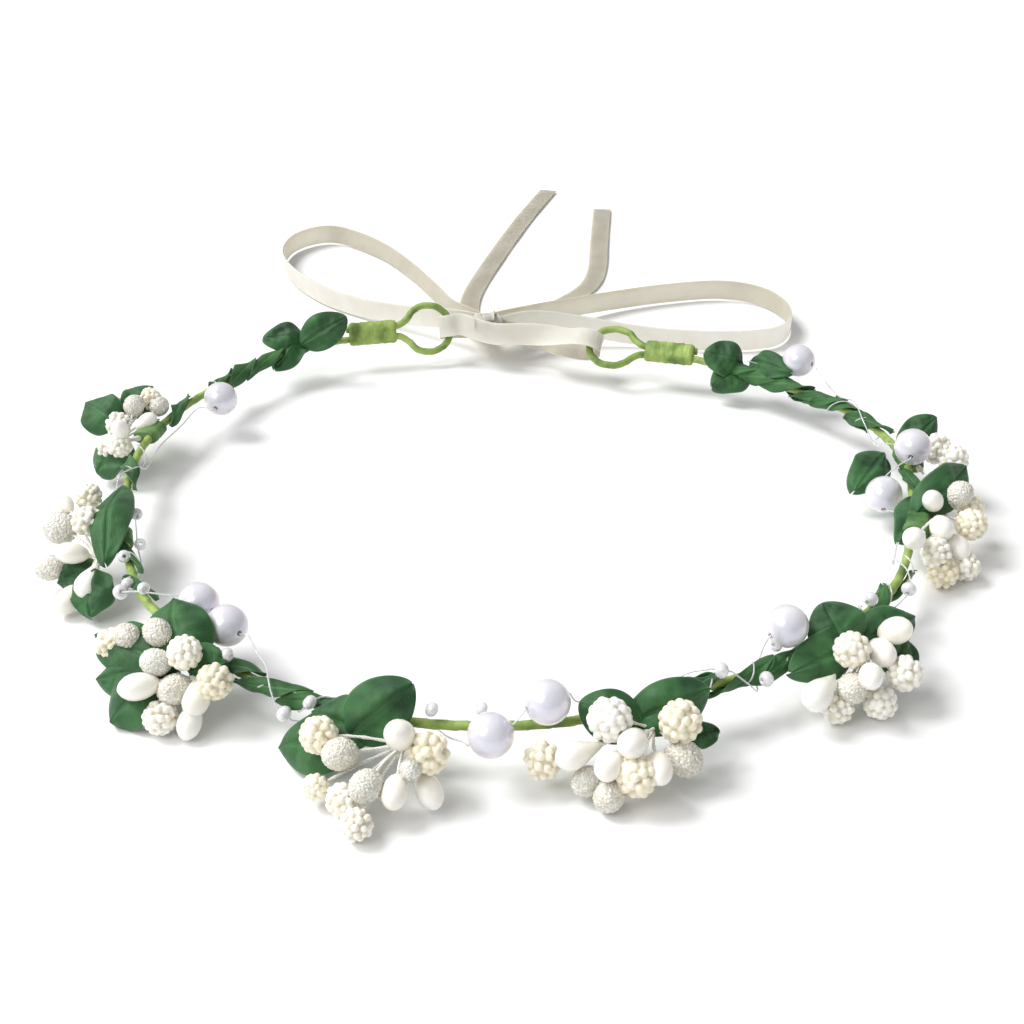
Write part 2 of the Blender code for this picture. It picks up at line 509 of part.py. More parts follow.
def make_spray(name, bearing, berries):
    """One body: the bundle of stamen wires along the stem, its neck, and every stalk with its berry."""
    stem = hoop_point(bearing)
    out, along = direction(bearing)
    rod_middle = stem + out * ROD_FROM_STEM
    half = SPRAY_WRAP_LENGTH / 2
    neck = rod_middle + out * (3 * MM) + along * (half + 2.5 * MM)
    bundle = [rod_middle - along * (half + 0.8 * MM), rod_middle + along * (half + 0.8 * MM), neck]
    rod = circle(SPRAY_ROD_RADIUS, 6)
    root = make_object(name, loft(carried_frames(bundle, Vector((0, 0, 1))), [rod] * 3), "berry")
    heads = bmesh.new()
    add_lathe(heads, neck, out, [(-1.1 * MM, 0.7 * MM), (0.0, 1.35 * MM), (1.3 * MM, 0.8 * MM)], 6)
    for kind, along_mm, out_mm, up_mm, size in berries:
        middle = place(bearing, along_mm, out_mm, up_mm)
        way = (middle - neck).normalized()
        add_lathe(heads, middle, way, berry_profile(kind, size), BERRY_SIDES)
        reach = (middle - neck).length
        add_lathe(heads, neck, way, [(0.2 * MM, BERRY_STALK_RADIUS), (reach, BERRY_STALK_RADIUS)], 4)
    bmesh.ops.recalc_face_normals(heads, faces=heads.faces)
    tool = make_object(name + "_heads", heads, "berry")
    tool.hide_render = True
    tool.display_type = "WIRE"
    join = root.modifiers.new("join_heads", "BOOLEAN")
    join.operation = "UNION"
    join.solver = "EXACT"
    join.use_self = True
    join.object = tool


def make_spray_wrap(name, bearing):
    """Tape that binds a spray's bundle of wires to the outer side of the stem."""
    reach = math.degrees(SPRAY_WRAP_LENGTH / 2 / HOOP_RADIUS)
    frames = []
    half = ROD_FROM_STEM / 2
    for point, side, up in hoop_frames(bearing - reach, bearing + reach):
        frames.append((point + side * half, side, up))
    hole = slot_outline(half, STEM_RADIUS + GAP + 0.1 * MM)
    shell = slot_outline(half, STEM_RADIUS + GAP + 0.1 * MM + WRAP_WALL)
    make_object(name, loft(frames, [shell] * len(frames), [hole] * len(frames)), "tape")


# ---------------------------------------------------------------- cloth leaves
LEAF_STATIONS = [(0.0, 0.10), (0.16, 0.55), (0.38, 0.95), (0.62, 0.90), (0.84, 0.50), (1.0, 0.06)]
LEAF_CUP = 0.12                  # how far a leaf's edges curl, as a share of its width


def make_leaf(name, bearing, root, tip, width_mm, facing):
    """A thin blade from root to tip, widest before its middle, arched and slightly cupped."""
    out, along = direction(bearing)
    start = place(bearing, *root)
    run = place(bearing, *tip) - start
    face = along * facing[0] + out * facing[1] + Vector((0, 0, facing[2]))
    face = (face - run * (face.dot(run) / run.length_squared)).normalized()
    side = run.normalized().cross(face)
    width = width_mm * MM
    mesh = bmesh.new()
    rows = []
    for layer in (0.5, -0.5):
        for share, breadth in LEAF_STATIONS:
            row = []
            for across in (-0.5, 0.0, 0.5):
                arch = math.sin(math.pi * share) * 0.10 * run.length
                curl = -abs(across) * 2 * LEAF_CUP * width * breadth
                point = start + run * share + side * (across * width * breadth)
                row.append(mesh.verts.new(point + face * (arch + curl + layer * LEAF_THICKNESS)))
            rows.append(row)
    count = len(LEAF_STATIONS)
    for layer in (0, 1):
        for i in range(count - 1):
            a, b = rows[layer * count + i], rows[layer * count + i + 1]
            for k in (0, 1):
                mesh.faces.new((a[k], a[k + 1], b[k + 1], b[k]))
    for i in range(count - 1):
        for k in (0, 2):
            mesh.faces.new((rows[i][k], rows[i + 1][k], rows[count + i + 1][k], rows[count + i][k]))
    for i in (0, count - 1):
        for k in (0, 1):
            mesh.faces.new((rows[i][k], rows[i][k + 1], rows[count + i][k + 1], rows[count + i][k]))
    bmesh.ops.recalc_face_normals(mesh, faces=mesh.faces)
    make_object(name, mesh, "leaf", sharp_degrees=50)


# ---------------------------------------------------------------- beads and their thread
def bead_radius(name):
    """Pearls are large and seed beads are small."""
    return PEARL_RADIUS if name.startswith("pearl") else SEED_RADIUS


def bead_axis(index):
    """The middle of the bead at one stop of the thread, and the way the thread runs through it."""
    before, here, after = [near_hoop(*stop[:3]) for stop in THREAD_ROUTE[index - 1:index + 2]]
    return here, (after - before).normalized()


def make_thread():
    """One clear thread, smooth between beads and straight through each of them."""
    points = []
    run = []
    for index, (bearing, out_mm, up_mm, bead) in enumerate(THREAD_ROUTE):
        if not bead:
            run.append(near_hoop(bearing, out_mm, up_mm))
            continue
        middle, axis = bead_axis(index)
        reach = axis * (bead_radius(bead) + 0.4 * MM)
        run.append(middle - reach)
        points += [Vector(p) for p in smooth_points(run, THREAD_STEP)]
        run = [middle + reach]
    points += [Vector(p) for p in smooth_points(run, THREAD_STEP)]
    frames = carried_frames(points, Vector((0, 0, 1)))
    make_object("bead_thread", loft(frames, [circle(THREAD_RADIUS, 4)] * len(frames)), "thread")


def make_bead(name, middle, axis, finish, sides, bands):
    """A ball with a hole right through it, its origin at its middle."""
    radius = bead_radius(name)
    mouth = math.asin(BEAD_BORE_RADIUS / radius)
    profile = [(-radius * math.cos(t), radius * math.sin(t))
               for t in (mouth + (math.pi - 2 * mouth) * k / bands for k in range(bands + 1))]
    first = axis.orthogonal().normalized()
    second = axis.cross(first)
    mesh = bmesh.new()
    rings = []
    for distance, away in profile:
        rings.append([mesh.verts.new(middle + axis * distance
                                     + (first * math.cos(t) + second * math.sin(t)) * away)
                      for t in (math.tau * k / sides for k in range(sides))])
    for a, b in zip(rings, rings[1:] + rings[:1]):
        skin(mesh, a, b)
    bmesh.ops.recalc_face_normals(mesh, faces=mesh.faces)
    make_object(name, mesh, finish, origin=middle)


def make_beads():
    """Every pearl and seed bead at its stop on the thread."""
    for index, stop in enumerate(THREAD_ROUTE):
        name = stop[3]
        if name.startswith("pearl"):
            make_bead(name, *bead_axis(index), "pearl", 8, 6)
        elif name:
            make_bead(name, *bead_axis(index), "seed", 7, 4)


# ---------------------------------------------------------------- the ribbon
def leaning_stops(leans_to, route):
    """A ribbon run's stops, each with the way its width points."""
    toward = Vector((*leans_to, 0.0)).normalized()
    stops = []
    for x, y, z, lean_degrees in route:
        lean = math.radians(lean_degrees)
        width = Vector((0, 0, 1)) * math.cos(lean) + toward * math.sin(lean)
        stops.append((*(HOOP_MIDDLE + Vector((x, y, z)) * MM), *width))
    return stops


def turn_stops(side):
    """The ribbon's way round one eyelet's rim and through its hole, lying flat against the wire."""
    middle, forward, upward = eyelet_axes(side)
    through = forward.cross(upward)
    return [(*(middle + forward * (f * MM) + through * (t * MM)), *upward) for f, t in RIBBON_TURN]


def band_stops():
    """From the knot round the left eyelet's rim, across to the right one's, and back to the knot."""
    left = turn_stops("left")
    right = turn_stops("right")

    def between(points):
        return [(*(HOOP_MIDDLE + Vector(p) * MM), *KNOT_WIDTHWAYS) for p in points]

    return (between([KNOT]) + left[1:-1] + between(BAND_IN_FRONT) + right + between(BAND_BEHIND))


def ribbon_frames(stops, step):
    """Sections along a ribbon run, sideways being its width."""
    smooth = smooth_points(stops, step)
    points = [Vector(s[:3]) for s in smooth]
    frames = []
    for point, ahead, stop in zip(points, tangents(points), smooth):
        width = Vector(stop[3:])
        width = (width - ahead * width.dot(ahead)).normalized()
        frames.append((point, width, ahead.cross(width).normalized()))
    return frames


def make_ribbon():
    """One satin ribbon through both eyelets: two tails, two loops and the band, joined by the knot."""
    half_width = RIBBON_WIDTH / 2
    half_thick = RIBBON_THICKNESS / 2
    section = [(-half_width, -half_thick), (half_width, -half_thick), (half_width, half_thick),
               (-half_width, half_thick)]
    knot = bmesh.new()
    bmesh.ops.create_icosphere(knot, subdivisions=1, radius=0.5)
    bmesh.ops.scale(knot, vec=KNOT_SIZE, verts=knot.verts)
    bmesh.ops.translate(knot, vec=HOOP_MIDDLE + Vector(KNOT) * MM, verts=knot.verts)
    ribbon = make_object("ribbon", knot, "ribbon")
    runs = {run: ribbon_frames(leaning_stops(*shape), RIBBON_STEP) for run, shape in RIBBON_RUNS.items()}
    runs["band"] = ribbon_frames(band_stops(), RIBBON_BAND_STEP)
    for run, frames in runs.items():
        tool = make_object("ribbon_" + run, loft(frames, [section] * len(frames), thin=True), "ribbon")
        tool.hide_render = True
        tool.display_type = "WIRE"
        join = ribbon.modifiers.new("join_" + run, "BOOLEAN")
        join.operation = "UNION"
        join.solver = "EXACT"
        join.object = tool


# ---------------------------------------------------------------- everything together
make_stem()
make_eyelet_wraps()
make_leafy_wraps()
for spray, (spray_bearing, heads) in SPRAYS.items():
    make_spray(spray, spray_bearing, heads)
    make_spray_wrap(spray.replace("spray", "wrap"), spray_bearing)
for leaf, shape in LEAVES.items():
    make_leaf(leaf, *shape)
make_thread()
make_beads()
make_ribbon()
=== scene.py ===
# %% [markdown]
# # A flower crown, from its working frame to its finished look
#
# A flower crown is a hoop of wire bound with green paper tape. It carries sprays of little berries,
# cloth leaves and pearls, and a satin ribbon ties its two ends together behind the head. The frame loaded
# here has every piece at its true size and place, but plain. This lesson gives each piece its real
# surface: how it is wound, pressed, strung or woven. The frame comes first, because every piece rides on
# one of its bodies.

# %% Load the frame
import math
import random

import bmesh
import bpy
import numpy as np
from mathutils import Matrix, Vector, noise


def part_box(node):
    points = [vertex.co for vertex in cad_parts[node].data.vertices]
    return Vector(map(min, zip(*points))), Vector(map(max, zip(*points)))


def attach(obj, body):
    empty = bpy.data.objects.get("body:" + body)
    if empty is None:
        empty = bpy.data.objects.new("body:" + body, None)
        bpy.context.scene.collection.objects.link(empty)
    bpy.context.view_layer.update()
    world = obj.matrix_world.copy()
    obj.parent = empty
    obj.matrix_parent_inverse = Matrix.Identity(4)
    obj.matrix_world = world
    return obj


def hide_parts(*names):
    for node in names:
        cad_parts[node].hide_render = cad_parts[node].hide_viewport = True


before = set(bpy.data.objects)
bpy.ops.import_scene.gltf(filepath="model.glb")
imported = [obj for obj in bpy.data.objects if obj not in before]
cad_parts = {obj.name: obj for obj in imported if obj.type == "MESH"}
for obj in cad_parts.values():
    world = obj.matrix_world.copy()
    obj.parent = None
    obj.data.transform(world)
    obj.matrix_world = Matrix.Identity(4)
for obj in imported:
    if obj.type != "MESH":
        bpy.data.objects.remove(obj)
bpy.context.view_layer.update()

MM = 0.001

# %% [markdown]
# ## The camera
#
# The crown lies on a table with its opening away from us, and we look down on its front from thirty
# degrees up. The camera is set from that angle and from how far away a person leans over a table:
# close enough that the back of the hoop looks clearly smaller than the front. A lens a little longer than
# normal keeps the ring from bulging at the edges.

# %% Camera at thirty degrees, close over the table
HOOP_MIDDLE = Vector((-2.0 * MM, 10.5 * MM, 0.0))
LOOKED_AT = HOOP_MIDDLE + Vector((1.46, 3.16, 0.0)) * MM
CAMERA_DISTANCE = 378 * MM
CAMERA_RISE = math.radians(30)

camera_data = bpy.data.cameras.new("camera")
camera_data.lens = 56.25
camera_data.sensor_width = 36.0
camera = bpy.data.objects.new("camera", camera_data)
bpy.context.collection.objects.link(camera)
back_and_up = Vector((0.0, -math.cos(CAMERA_RISE), math.sin(CAMERA_RISE)))
camera.location = LOOKED_AT + back_and_up * CAMERA_DISTANCE
camera.rotation_euler = (math.pi / 2 - CAMERA_RISE, 0.0, 0.0)
bpy.context.scene.camera = camera
print("camera at, mm:", [round(c / MM) for c in camera.location])

# %% [markdown]
# ## Measuring round the hoop
#
# Everything on a crown is placed by the maker's eye at a bearing round the hoop: so far along it, so far
# out of it, so far up. The same three numbers are used here, because they keep a spray's pieces together
# when the hoop's size changes, where plain x, y and z would not. Bearing 0 is the middle of the front,
# +90 the right side, and the opening is at 180.

# %% Bearings and places
HOOP_RADIUS = 90 * MM
HOOP_HEIGHT = 9 * MM


def direction(bearing):
    """The level ways out of the hoop and along it at a bearing."""
    turn = math.radians(bearing)
    out = Vector((math.sin(turn), -math.cos(turn), 0.0))
    along = Vector((math.cos(turn), math.sin(turn), 0.0))
    return out, along


def place(bearing, along_mm, out_mm, up_mm):
    """A point near the round hoop, from a bearing and three distances in millimetres."""
    out, along = direction(bearing)
    level = out * (HOOP_RADIUS + out_mm * MM) + along * (along_mm * MM)
    return HOOP_MIDDLE + level + Vector((0.0, 0.0, HOOP_HEIGHT + up_mm * MM))


print("front of the hoop, mm:", [round(c / MM, 1) for c in place(0, 0, 0, 0)])

# %% [markdown]
# ## Smooth lines through a few points
#
# Wire, thread and ribbon all follow a smooth line. A maker bends wire by feel through a few places, so a
# line here is a handful of points with a smooth curve through them, read off again at even steps. Even
# steps matter: a wound tape or a woven ribbon then keeps one scale all the way along. The points may
# carry extra numbers, such as the way a ribbon's width points, and these are smoothed as well.

# %% Helpers for lines and their frames


def smooth_points(points, step):
    """Points a step apart on the smooth curve through hand-chosen points of any number of values."""
    knots = np.array([list(p) for p in points], dtype=float)
    ends = [2 * knots[0] - knots[1], *knots, 2 * knots[-1] - knots[-2]]
    fine = []
    for a, b, c, d in zip(ends, ends[1:], ends[2:], ends[3:]):
        for t in np.linspace(0.0, 1.0, 12, endpoint=False):
            fine.append(0.5 * (2 * b + (c - a) * t + (2 * a - 5 * b + 4 * c - d) * t * t
                               + (3 * b - a - 3 * c + d) * t ** 3))
    fine.append(knots[-1])
    fine = np.array(fine)
    legs = np.linalg.norm(np.diff(fine[:, :3], axis=0), axis=1)
    run = np.concatenate([[0.0], np.cumsum(legs)])
    count = max(2, round(run[-1] / step) + 1)
    stops = np.linspace(0.0, run[-1], count)
    return [np.array([np.interp(s, run, fine[:, k]) for k in range(fine.shape[1])]) for s in stops]


def tangents(points):
    """A unit direction at each point of a line."""
    found = []
    for i in range(len(points)):
        before = points[max(i - 1, 0)]
        after = points[min(i + 1, len(points) - 1)]
        found.append((after - before).normalized())
    return found


def carried_frames(points, first_up):
    """Each point with a sideways and an upward way, carried along the line without twisting."""
    frames = []
    up = first_up
    for point, ahead in zip(points, tangents(points)):
        up = (up - ahead * up.dot(ahead)).normalized()
        frames.append((point, ahead.cross(up).normalized(), up))
    return frames


def line_length(points):
    """How long a line is, in metres."""
    return sum((b - a).length for a, b in zip(points, points[1:]))


# %% [markdown]
# ## From shapes to pieces
#
# Each finished piece is one mesh that rides on a body of the frame. The shapes below are gathered as
# plain arrays of corners and faces, because one spray has thousands of faces and arrays are quick. Two
# small maps go with them. The first, "wound", says how far along and how far round a point lies on a tape
# or ribbon, in millimetres. The second, "tone", carries a shade and a height, so a finish can
# tell a crease from a crown and paint shade into the crease. Maps made from the shape itself follow it
# however it bends.

# %% Shapes gathered into a mesh


class Shape:
    """Corners, faces and two small maps, gathered piece by piece."""

    def __init__(self):
        self.corners = []
        self.faces = []
        self.finish = []
        self.wound = []
        self.tone = []

    def add(self, corners, faces, wound=None, tone=None):
        """Add corners and faces; wound and tone give one pair for each corner."""
        start = len(self.corners)
        self.corners.extend(corners)
        self.wound.extend(wound if wound is not None else [(0.0, 0.0)] * len(corners))
        self.tone.extend(tone if tone is not None else [(0.5, 0.5)] * len(corners))
        self.cover(start, faces)

    def cover(self, start, faces, finish=0):
        """Add faces over the corners from a start, in one of the piece's finishes."""
        self.faces.extend([tuple(start + k for k in face) for face in faces])
        self.finish.extend([finish] * len(faces))

    def mesh(self, name):
        """The gathered shape as a Blender mesh."""
        made = bpy.data.meshes.new(name)
        made.from_pydata([tuple(c) for c in self.corners], [], self.faces)
        made.polygons.foreach_set("material_index", self.finish)
        made.polygons.foreach_set("use_smooth", [True] * len(self.faces))
        corner_of_loop = np.empty(len(made.loops), dtype=np.int64)
        made.loops.foreach_get("vertex_index", corner_of_loop)
        for title, values in (("wound", self.wound), ("tone", self.tone)):
            layer = made.uv_layers.new(name=title, do_init=False)
            layer.uv.foreach_set("vector", np.array(values, dtype=np.float32)[corner_of_loop].ravel())
        made.update()
        return made


def finished(name, shape, finishes, stands_for=(), body="crown"):
    """A piece from a shape: its finishes, the body it rides on and the plain pieces it stands for."""
    made = shape.mesh(name)
    for finish in finishes:
        made.materials.append(finish)
    turned = bmesh.new()
    turned.from_mesh(made)
    bmesh.ops.recalc_face_normals(turned, faces=turned.faces)
    turned.to_mesh(made)
    turned.free()
    piece = bpy.data.objects.new(name, made)
    bpy.context.collection.objects.link(piece)
    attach(piece, body)
    if stands_for:
        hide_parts(*stands_for)
    return piece


# %% Rings, tubes and turned shapes


def ring_faces(rings, sides, closed=True):
    """Faces between rows of equal length, laid one after another."""
    faces = []
    for r in range(rings - 1):
        for k in range(sides if closed else sides - 1):
            j = (k + 1) % sides
            faces.append((r * sides + k, r * sides + j, (r + 1) * sides + j, (r + 1) * sides + k))
    return faces


def tube_faces(rings, sides):
    """The faces of a tube, with a cap at each end."""
    corners = rings * sides
    return ring_faces(rings, sides) + [tuple(range(sides)), tuple(range(corners - sides, corners))]


def sheet_faces(rows, columns):
    """The front, the back and the rim of a thin sheet, its back corners listed after its front ones."""
    size = rows * columns
    front = ring_faces(rows, columns, closed=False)
    back = [tuple(size + k for k in reversed(face)) for face in front]
    long_edges = [(r * columns + k, (r + 1) * columns + k) for r in range(rows - 1) for k in (0, columns - 1)]
    short_edges = [(r * columns + k, r * columns + k + 1) for r in (0, rows - 1) for k in range(columns - 1)]
    rim = [(a, b, size + b, size + a) for a, b in long_edges + short_edges]
    return front, back, rim


def around(point, side, up, turn, reach):
    """The corner at a turn round a point, and a reach away from it."""
    return point + (side * math.cos(turn) + up * math.sin(turn)) * reach


def add_tube(shape, frames, radius_at, sides):
    """A tube along frames; radius_at(run, turn) gives its radius in metres at each place."""
    corners = []
    wound = []
    run = 0.0
    for i, (point, side, up) in enumerate(frames):
        if i:
            run += (point - frames[i - 1][0]).length
        for k in range(sides):
            turn = math.tau * k / sides
            radius = radius_at(run, turn)
            corners.append(around(point, side, up, turn, radius))
            wound.append((run / MM, radius / MM * turn))
    shape.add(corners, tube_faces(len(frames), sides), wound)


def turned_corners(middle, axis, profile, sides):
    """Rings of corners round an axis: profile pairs are (distance along the axis, radius)."""
    first = axis.orthogonal().normalized()
    second = axis.cross(first)
    return [around(middle + axis * distance, first, second, math.tau * k / sides, radius)
            for distance, radius in profile for k in range(sides)]


def add_turned(shape, middle, axis, profile, sides, tones):
    """A turned shape with pointed ends, and one tone for each ring of its profile."""
    corners = turned_corners(middle, axis, profile, sides)
    tone = [tones[i] for i in range(len(profile)) for k in range(sides)]
    faces = ring_faces(len(profile), sides)
    for ring in (0, len(profile) - 1):
        pole = len(corners)
        corners.append(middle + axis * profile[ring][0])
        tone.append(tones[ring])
        faces += [(ring * sides + k, ring * sides + (k + 1) % sides, pole) for k in range(sides)]
    shape.add(corners, faces, None, tone)


# %% [markdown]
# ## Finishes
#
# Every finish is a small tree of nodes on Blender's standard shader. The real things are all a little
# uneven: paper tape is crinkled and its dye is patchy, cloth leaves have a weave, sugared berries
# glitter. So each finish mixes two or three close colours by a noise of the right grain, and lifts the
# surface with a bump. Images could do this too, but noise has no seams and no fixed size. Several
# finishes also paint shade into creases, grooves and bores, and the leaves and sugared heads get
# painted highlights and glints.

# %% Helpers for finishes


class Finish:
    """A material with short ways to add and join its nodes."""

    def __init__(self, name, **settings):
        self.material = bpy.data.materials.new(name)
        self.material.use_nodes = True
        self.nodes = self.material.node_tree.nodes
        self.links = self.material.node_tree.links
        self.shader = self.nodes["Principled BSDF"]
        for socket, value in settings.items():
            self.shader.inputs[socket.replace("_", " ")].default_value = value

    def node(self, kind, settings=None, **inputs):
        """Add a node; settings are its own, and inputs are values or other nodes' outputs."""
        made = self.nodes.new("ShaderNode" + kind)
        for key, value in (settings or {}).items():
            setattr(made, key, value)
        for key, value in inputs.items():
            self.set(made, key, value)
        return made

    def set(self, made, key, value):
        """Give an input a value, or join an output to it."""
        socket = made.inputs[int(key[1:])] if key[0] == "i" and key[1:].isdigit() else made.inputs[key]
        if isinstance(value, bpy.types.NodeSocket):
            self.links.new(value, socket)
        else:
            socket.default_value = value

    def map(self, title):
        """One of the shape's own maps, as millimetres along and round or as tone and height."""
        return self.node("UVMap", {"uv_map": title}).outputs["UV"]

    def part(self, vector, axis):
        """One number of a vector."""
        return self.node("SeparateXYZ", i0=vector).outputs[axis]

    def places(self, scale=1.0):
        """Where a point lies on the piece itself, so the grain moves with it."""
        seat = self.node("TexCoord").outputs["Object"]
        moved = self.node("Mapping", {"vector_type": "POINT"}, Vector=seat, Scale=(scale, scale, scale))
        return moved.outputs[0]

    def grain(self, size_mm, vector=None, detail=2.0, roughness=0.5):
        """Noise whose patches are about a size in millimetres."""
        source = self.places() if vector is None else vector
        per_unit = 1.0 / (size_mm * MM) if vector is None else 1.0 / size_mm
        return self.node("TexNoise", Vector=source, Scale=per_unit, Detail=detail,
                         Roughness=roughness).outputs[0]

    def ramp(self, factor, stops):
        """Colours along a factor; stops are (place, colour)."""
        made = self.node("ValToRGB", i0=factor)
        band = made.color_ramp
        for k, (spot, colour) in enumerate(stops):
            stop = band.elements[k] if k < 2 else band.elements.new(spot)
            stop.position = spot
            stop.color = (*colour, 1.0)
        return made.outputs[0]

    def mix(self, factor, first, second, way="MIX"):
        """Two colours mixed."""
        made = self.node("Mix", {"data_type": "RGBA", "blend_type": way})
        for key, value in ((0, factor), (6, first), (7, second)):
            if isinstance(value, bpy.types.NodeSocket):
                self.links.new(value, made.inputs[key])
            elif key:
                made.inputs[key].default_value = (*value, 1.0)
            else:
                made.inputs[key].default_value = value
        return made.outputs[2]

    def sum(self, way, first, second):
        """Two numbers joined by a sum, product or the like."""
        return self.node("Math", {"operation": way}, i0=first, i1=second).outputs[0]

    def spread(self, value, low, high, to_low=0.0, to_high=1.0):
        """A number taken from one range to another."""
        return self.node("MapRange", Value=value, i1=low, i2=high, i3=to_low, i4=to_high).outputs[0]

    def bump(self, height, depth_mm, under=None):
        """Lift the surface by a height from 0 to 1, to a depth in millimetres."""
        made = self.node("Bump", Strength=1.0, Distance=depth_mm * MM, Height=height)
        if under is not None:
            self.links.new(under, made.inputs["Normal"])
        return made.outputs[0]

    def wear(self, **outputs):
        """Join outputs to the shader's own inputs, and hand back the material."""
        for socket, value in outputs.items():
            self.links.new(value, self.shader.inputs[socket.replace("_", " ")])
        return self.material


# %% [markdown]
# Paper stem tape is crepe paper soaked in wax. It is wound slantwise, so its overlaps run round the stem
# like a shallow screw thread, with fine crinkles across the tape. Its lime green is patchy, because
# stretching pales the dye, and each turn is darkened just below the raised edge beside it as painted
# shade. The wound map gives both directions. The bindings that hold the sprays are of a darker moss
# tape, so that they sink from sight under the berries. Both tapes come from one recipe with its three
# greens changed.

# %% Paper tape


def paper_tape(name, light, middle, dark):
    """Waxed crepe paper, wound: patchy green, with painted shade at the foot of each turn's edge."""
    tape = Finish(name, Roughness=0.62, Coat_Weight=0.12, Coat_Roughness=0.45)
    wound = tape.map("wound")
    stretched = tape.node("Mapping", Vector=wound, Scale=(2.2, 0.7, 1.0)).outputs[0]
    crinkle = tape.grain(1.0, stretched, detail=3.0)
    patch = tape.grain(5.0, detail=3.0)
    colour = tape.ramp(patch, [(0.32, dark), (0.5, middle), (0.68, light)])
    height = tape.part(tape.map("tone"), 1)
    # Painted shade: where the tone's height is low, at the foot of each turn's edge, the colour is mixed
    # towards the dark green.
    shaded = tape.mix(tape.spread(height, 0.0, 0.5, 0.55, 0.0), colour, dark)
    fibres = tape.grain(0.35, detail=2.0)
    lifted = tape.bump(fibres, 0.05, tape.bump(crinkle, 0.16))
    return tape.wear(Base_Color=shaded, Roughness=tape.spread(fibres, 0.3, 0.7, 0.5, 0.75), Normal=lifted)


LIME_TAPE = paper_tape("lime_stem_tape", (0.42, 0.53, 0.15), (0.26, 0.38, 0.08), (0.11, 0.19, 0.035))
MOSS_TAPE = paper_tape("moss_binding_tape", (0.13, 0.25, 0.07), (0.07, 0.17, 0.045), (0.025, 0.08, 0.02))

# %% [markdown]
# The leaves are cut from woven cloth, stiffened and pressed in a hot die. That leaves a fine weave, a
# pressed midrib with side veins, and a satin face. The veins are in the shape itself, and the tone map's
# height finds them again, so that colour and shape agree: the colour is darkened along the veins as
# painted shade and lightened on the midrib as a painted highlight.

# %% Leaf cloth


def leaf_cloth(name, face, deep, vein):
    """Dyed, stiffened cloth: a fine weave, painted shade along the veins, a painted highlight on the midrib,
    and a thin pale edge.
    """
    cloth = Finish(name, Roughness=0.5, Sheen_Weight=0.08, Sheen_Roughness=0.4, Specular_IOR_Level=0.35)
    dye = cloth.grain(7.0, detail=3.0)
    colour = cloth.ramp(dye, [(0.3, deep), (0.62, face)])
    tone = cloth.map("tone")
    ridge = cloth.part(tone, 1)
    edge = cloth.part(tone, 0)
    # Painted shade: a low ridge value darkens the cloth along the veins. On the next line a high one lightens
    # it on the midrib as a painted highlight.
    vein_shaded = cloth.mix(cloth.spread(ridge, 0.4, 0.0, 0.0, 0.6), colour, deep)
    lit = cloth.mix(cloth.spread(ridge, 0.56, 0.9, 0.0, 0.6), vein_shaded, vein)
    rimmed = cloth.mix(cloth.spread(edge, 0.93, 1.0, 0.0, 0.45), lit, vein)
    wound = cloth.map("wound")
    warp = cloth.node("TexWave", {"wave_type": "BANDS", "bands_direction": "X"}, Vector=wound, Scale=1.15,
                      Distortion=0.6, Detail=1.0).outputs[1]
    weft = cloth.node("TexWave", {"wave_type": "BANDS", "bands_direction": "Y"}, Vector=wound, Scale=1.15,
                      Distortion=0.6, Detail=1.0).outputs[1]
    weave = cloth.sum("MULTIPLY", warp, weft)
    speck = cloth.mix(cloth.spread(weave, 0.0, 1.0, 0.0, 0.22), rimmed, vein)
    fuzz = cloth.grain(0.5, detail=3.0)
    return cloth.wear(Base_Color=speck, Roughness=cloth.spread(fuzz, 0.3, 0.7, 0.4, 0.62),
                      Normal=cloth.bump(fuzz, 0.05, cloth.bump(weave, 0.05)))


LEAF_CLOTH = leaf_cloth("cloth_leaf", (0.036, 0.135, 0.038), (0.009, 0.048, 0.016), (0.095, 0.25, 0.085))
LEAFY_TAPE = leaf_cloth("leafy_tape", (0.038, 0.14, 0.036), (0.010, 0.055, 0.016), (0.10, 0.27, 0.08))

# %% [markdown]
# The berries are starch and glue on thread. A mulberry head is many small drops, ivory with a yellower
# heart where the glue is thick, and painted shade darkens the creases between its drops. A sugared head
# is rolled in fine glass beads and glitters; painted shade darkens the gaps between its beads, and some
# beads get a painted glint. A bud is dipped in pearly paint. Each has a little light passing through it,
# so its shadows stay warm.

# %% Berry finishes


def ivory_drops():
    """Small drops of starch glue: pale ivory, yellower on some heads, and darker and yellower in the creases
    between drops as painted shade.
    """
    drops = Finish("ivory_drops", Subsurface_Weight=0.25, Subsurface_Radius=(0.9, 0.7, 0.4),
                   Subsurface_Scale=0.8 * MM, Coat_Weight=0.2, Coat_Roughness=0.3)
    tone = drops.map("tone")
    height = drops.part(tone, 1)
    warmth = drops.part(tone, 0)
    pale = drops.ramp(warmth, [(0.0, (0.93, 0.92, 0.87)), (0.6, (0.92, 0.89, 0.80)),
                               (1.0, (0.90, 0.83, 0.64))])
    # Painted shade: where the skin's height is low, in the creases between drops, the colour is mixed towards
    # a dark yellow.
    crease_shaded = drops.mix(drops.spread(height, 0.55, 0.0, 0.0, 0.7), pale, (0.70, 0.63, 0.44))
    patch = drops.grain(2.2)
    mottled = drops.mix(drops.spread(patch, 0.5, 0.75, 0.0, 0.35), crease_shaded, (0.90, 0.83, 0.62))
    fine = drops.grain(0.3)
    return drops.wear(Base_Color=mottled, Roughness=drops.spread(fine, 0.3, 0.7, 0.28, 0.5),
                      Normal=drops.bump(fine, 0.04))


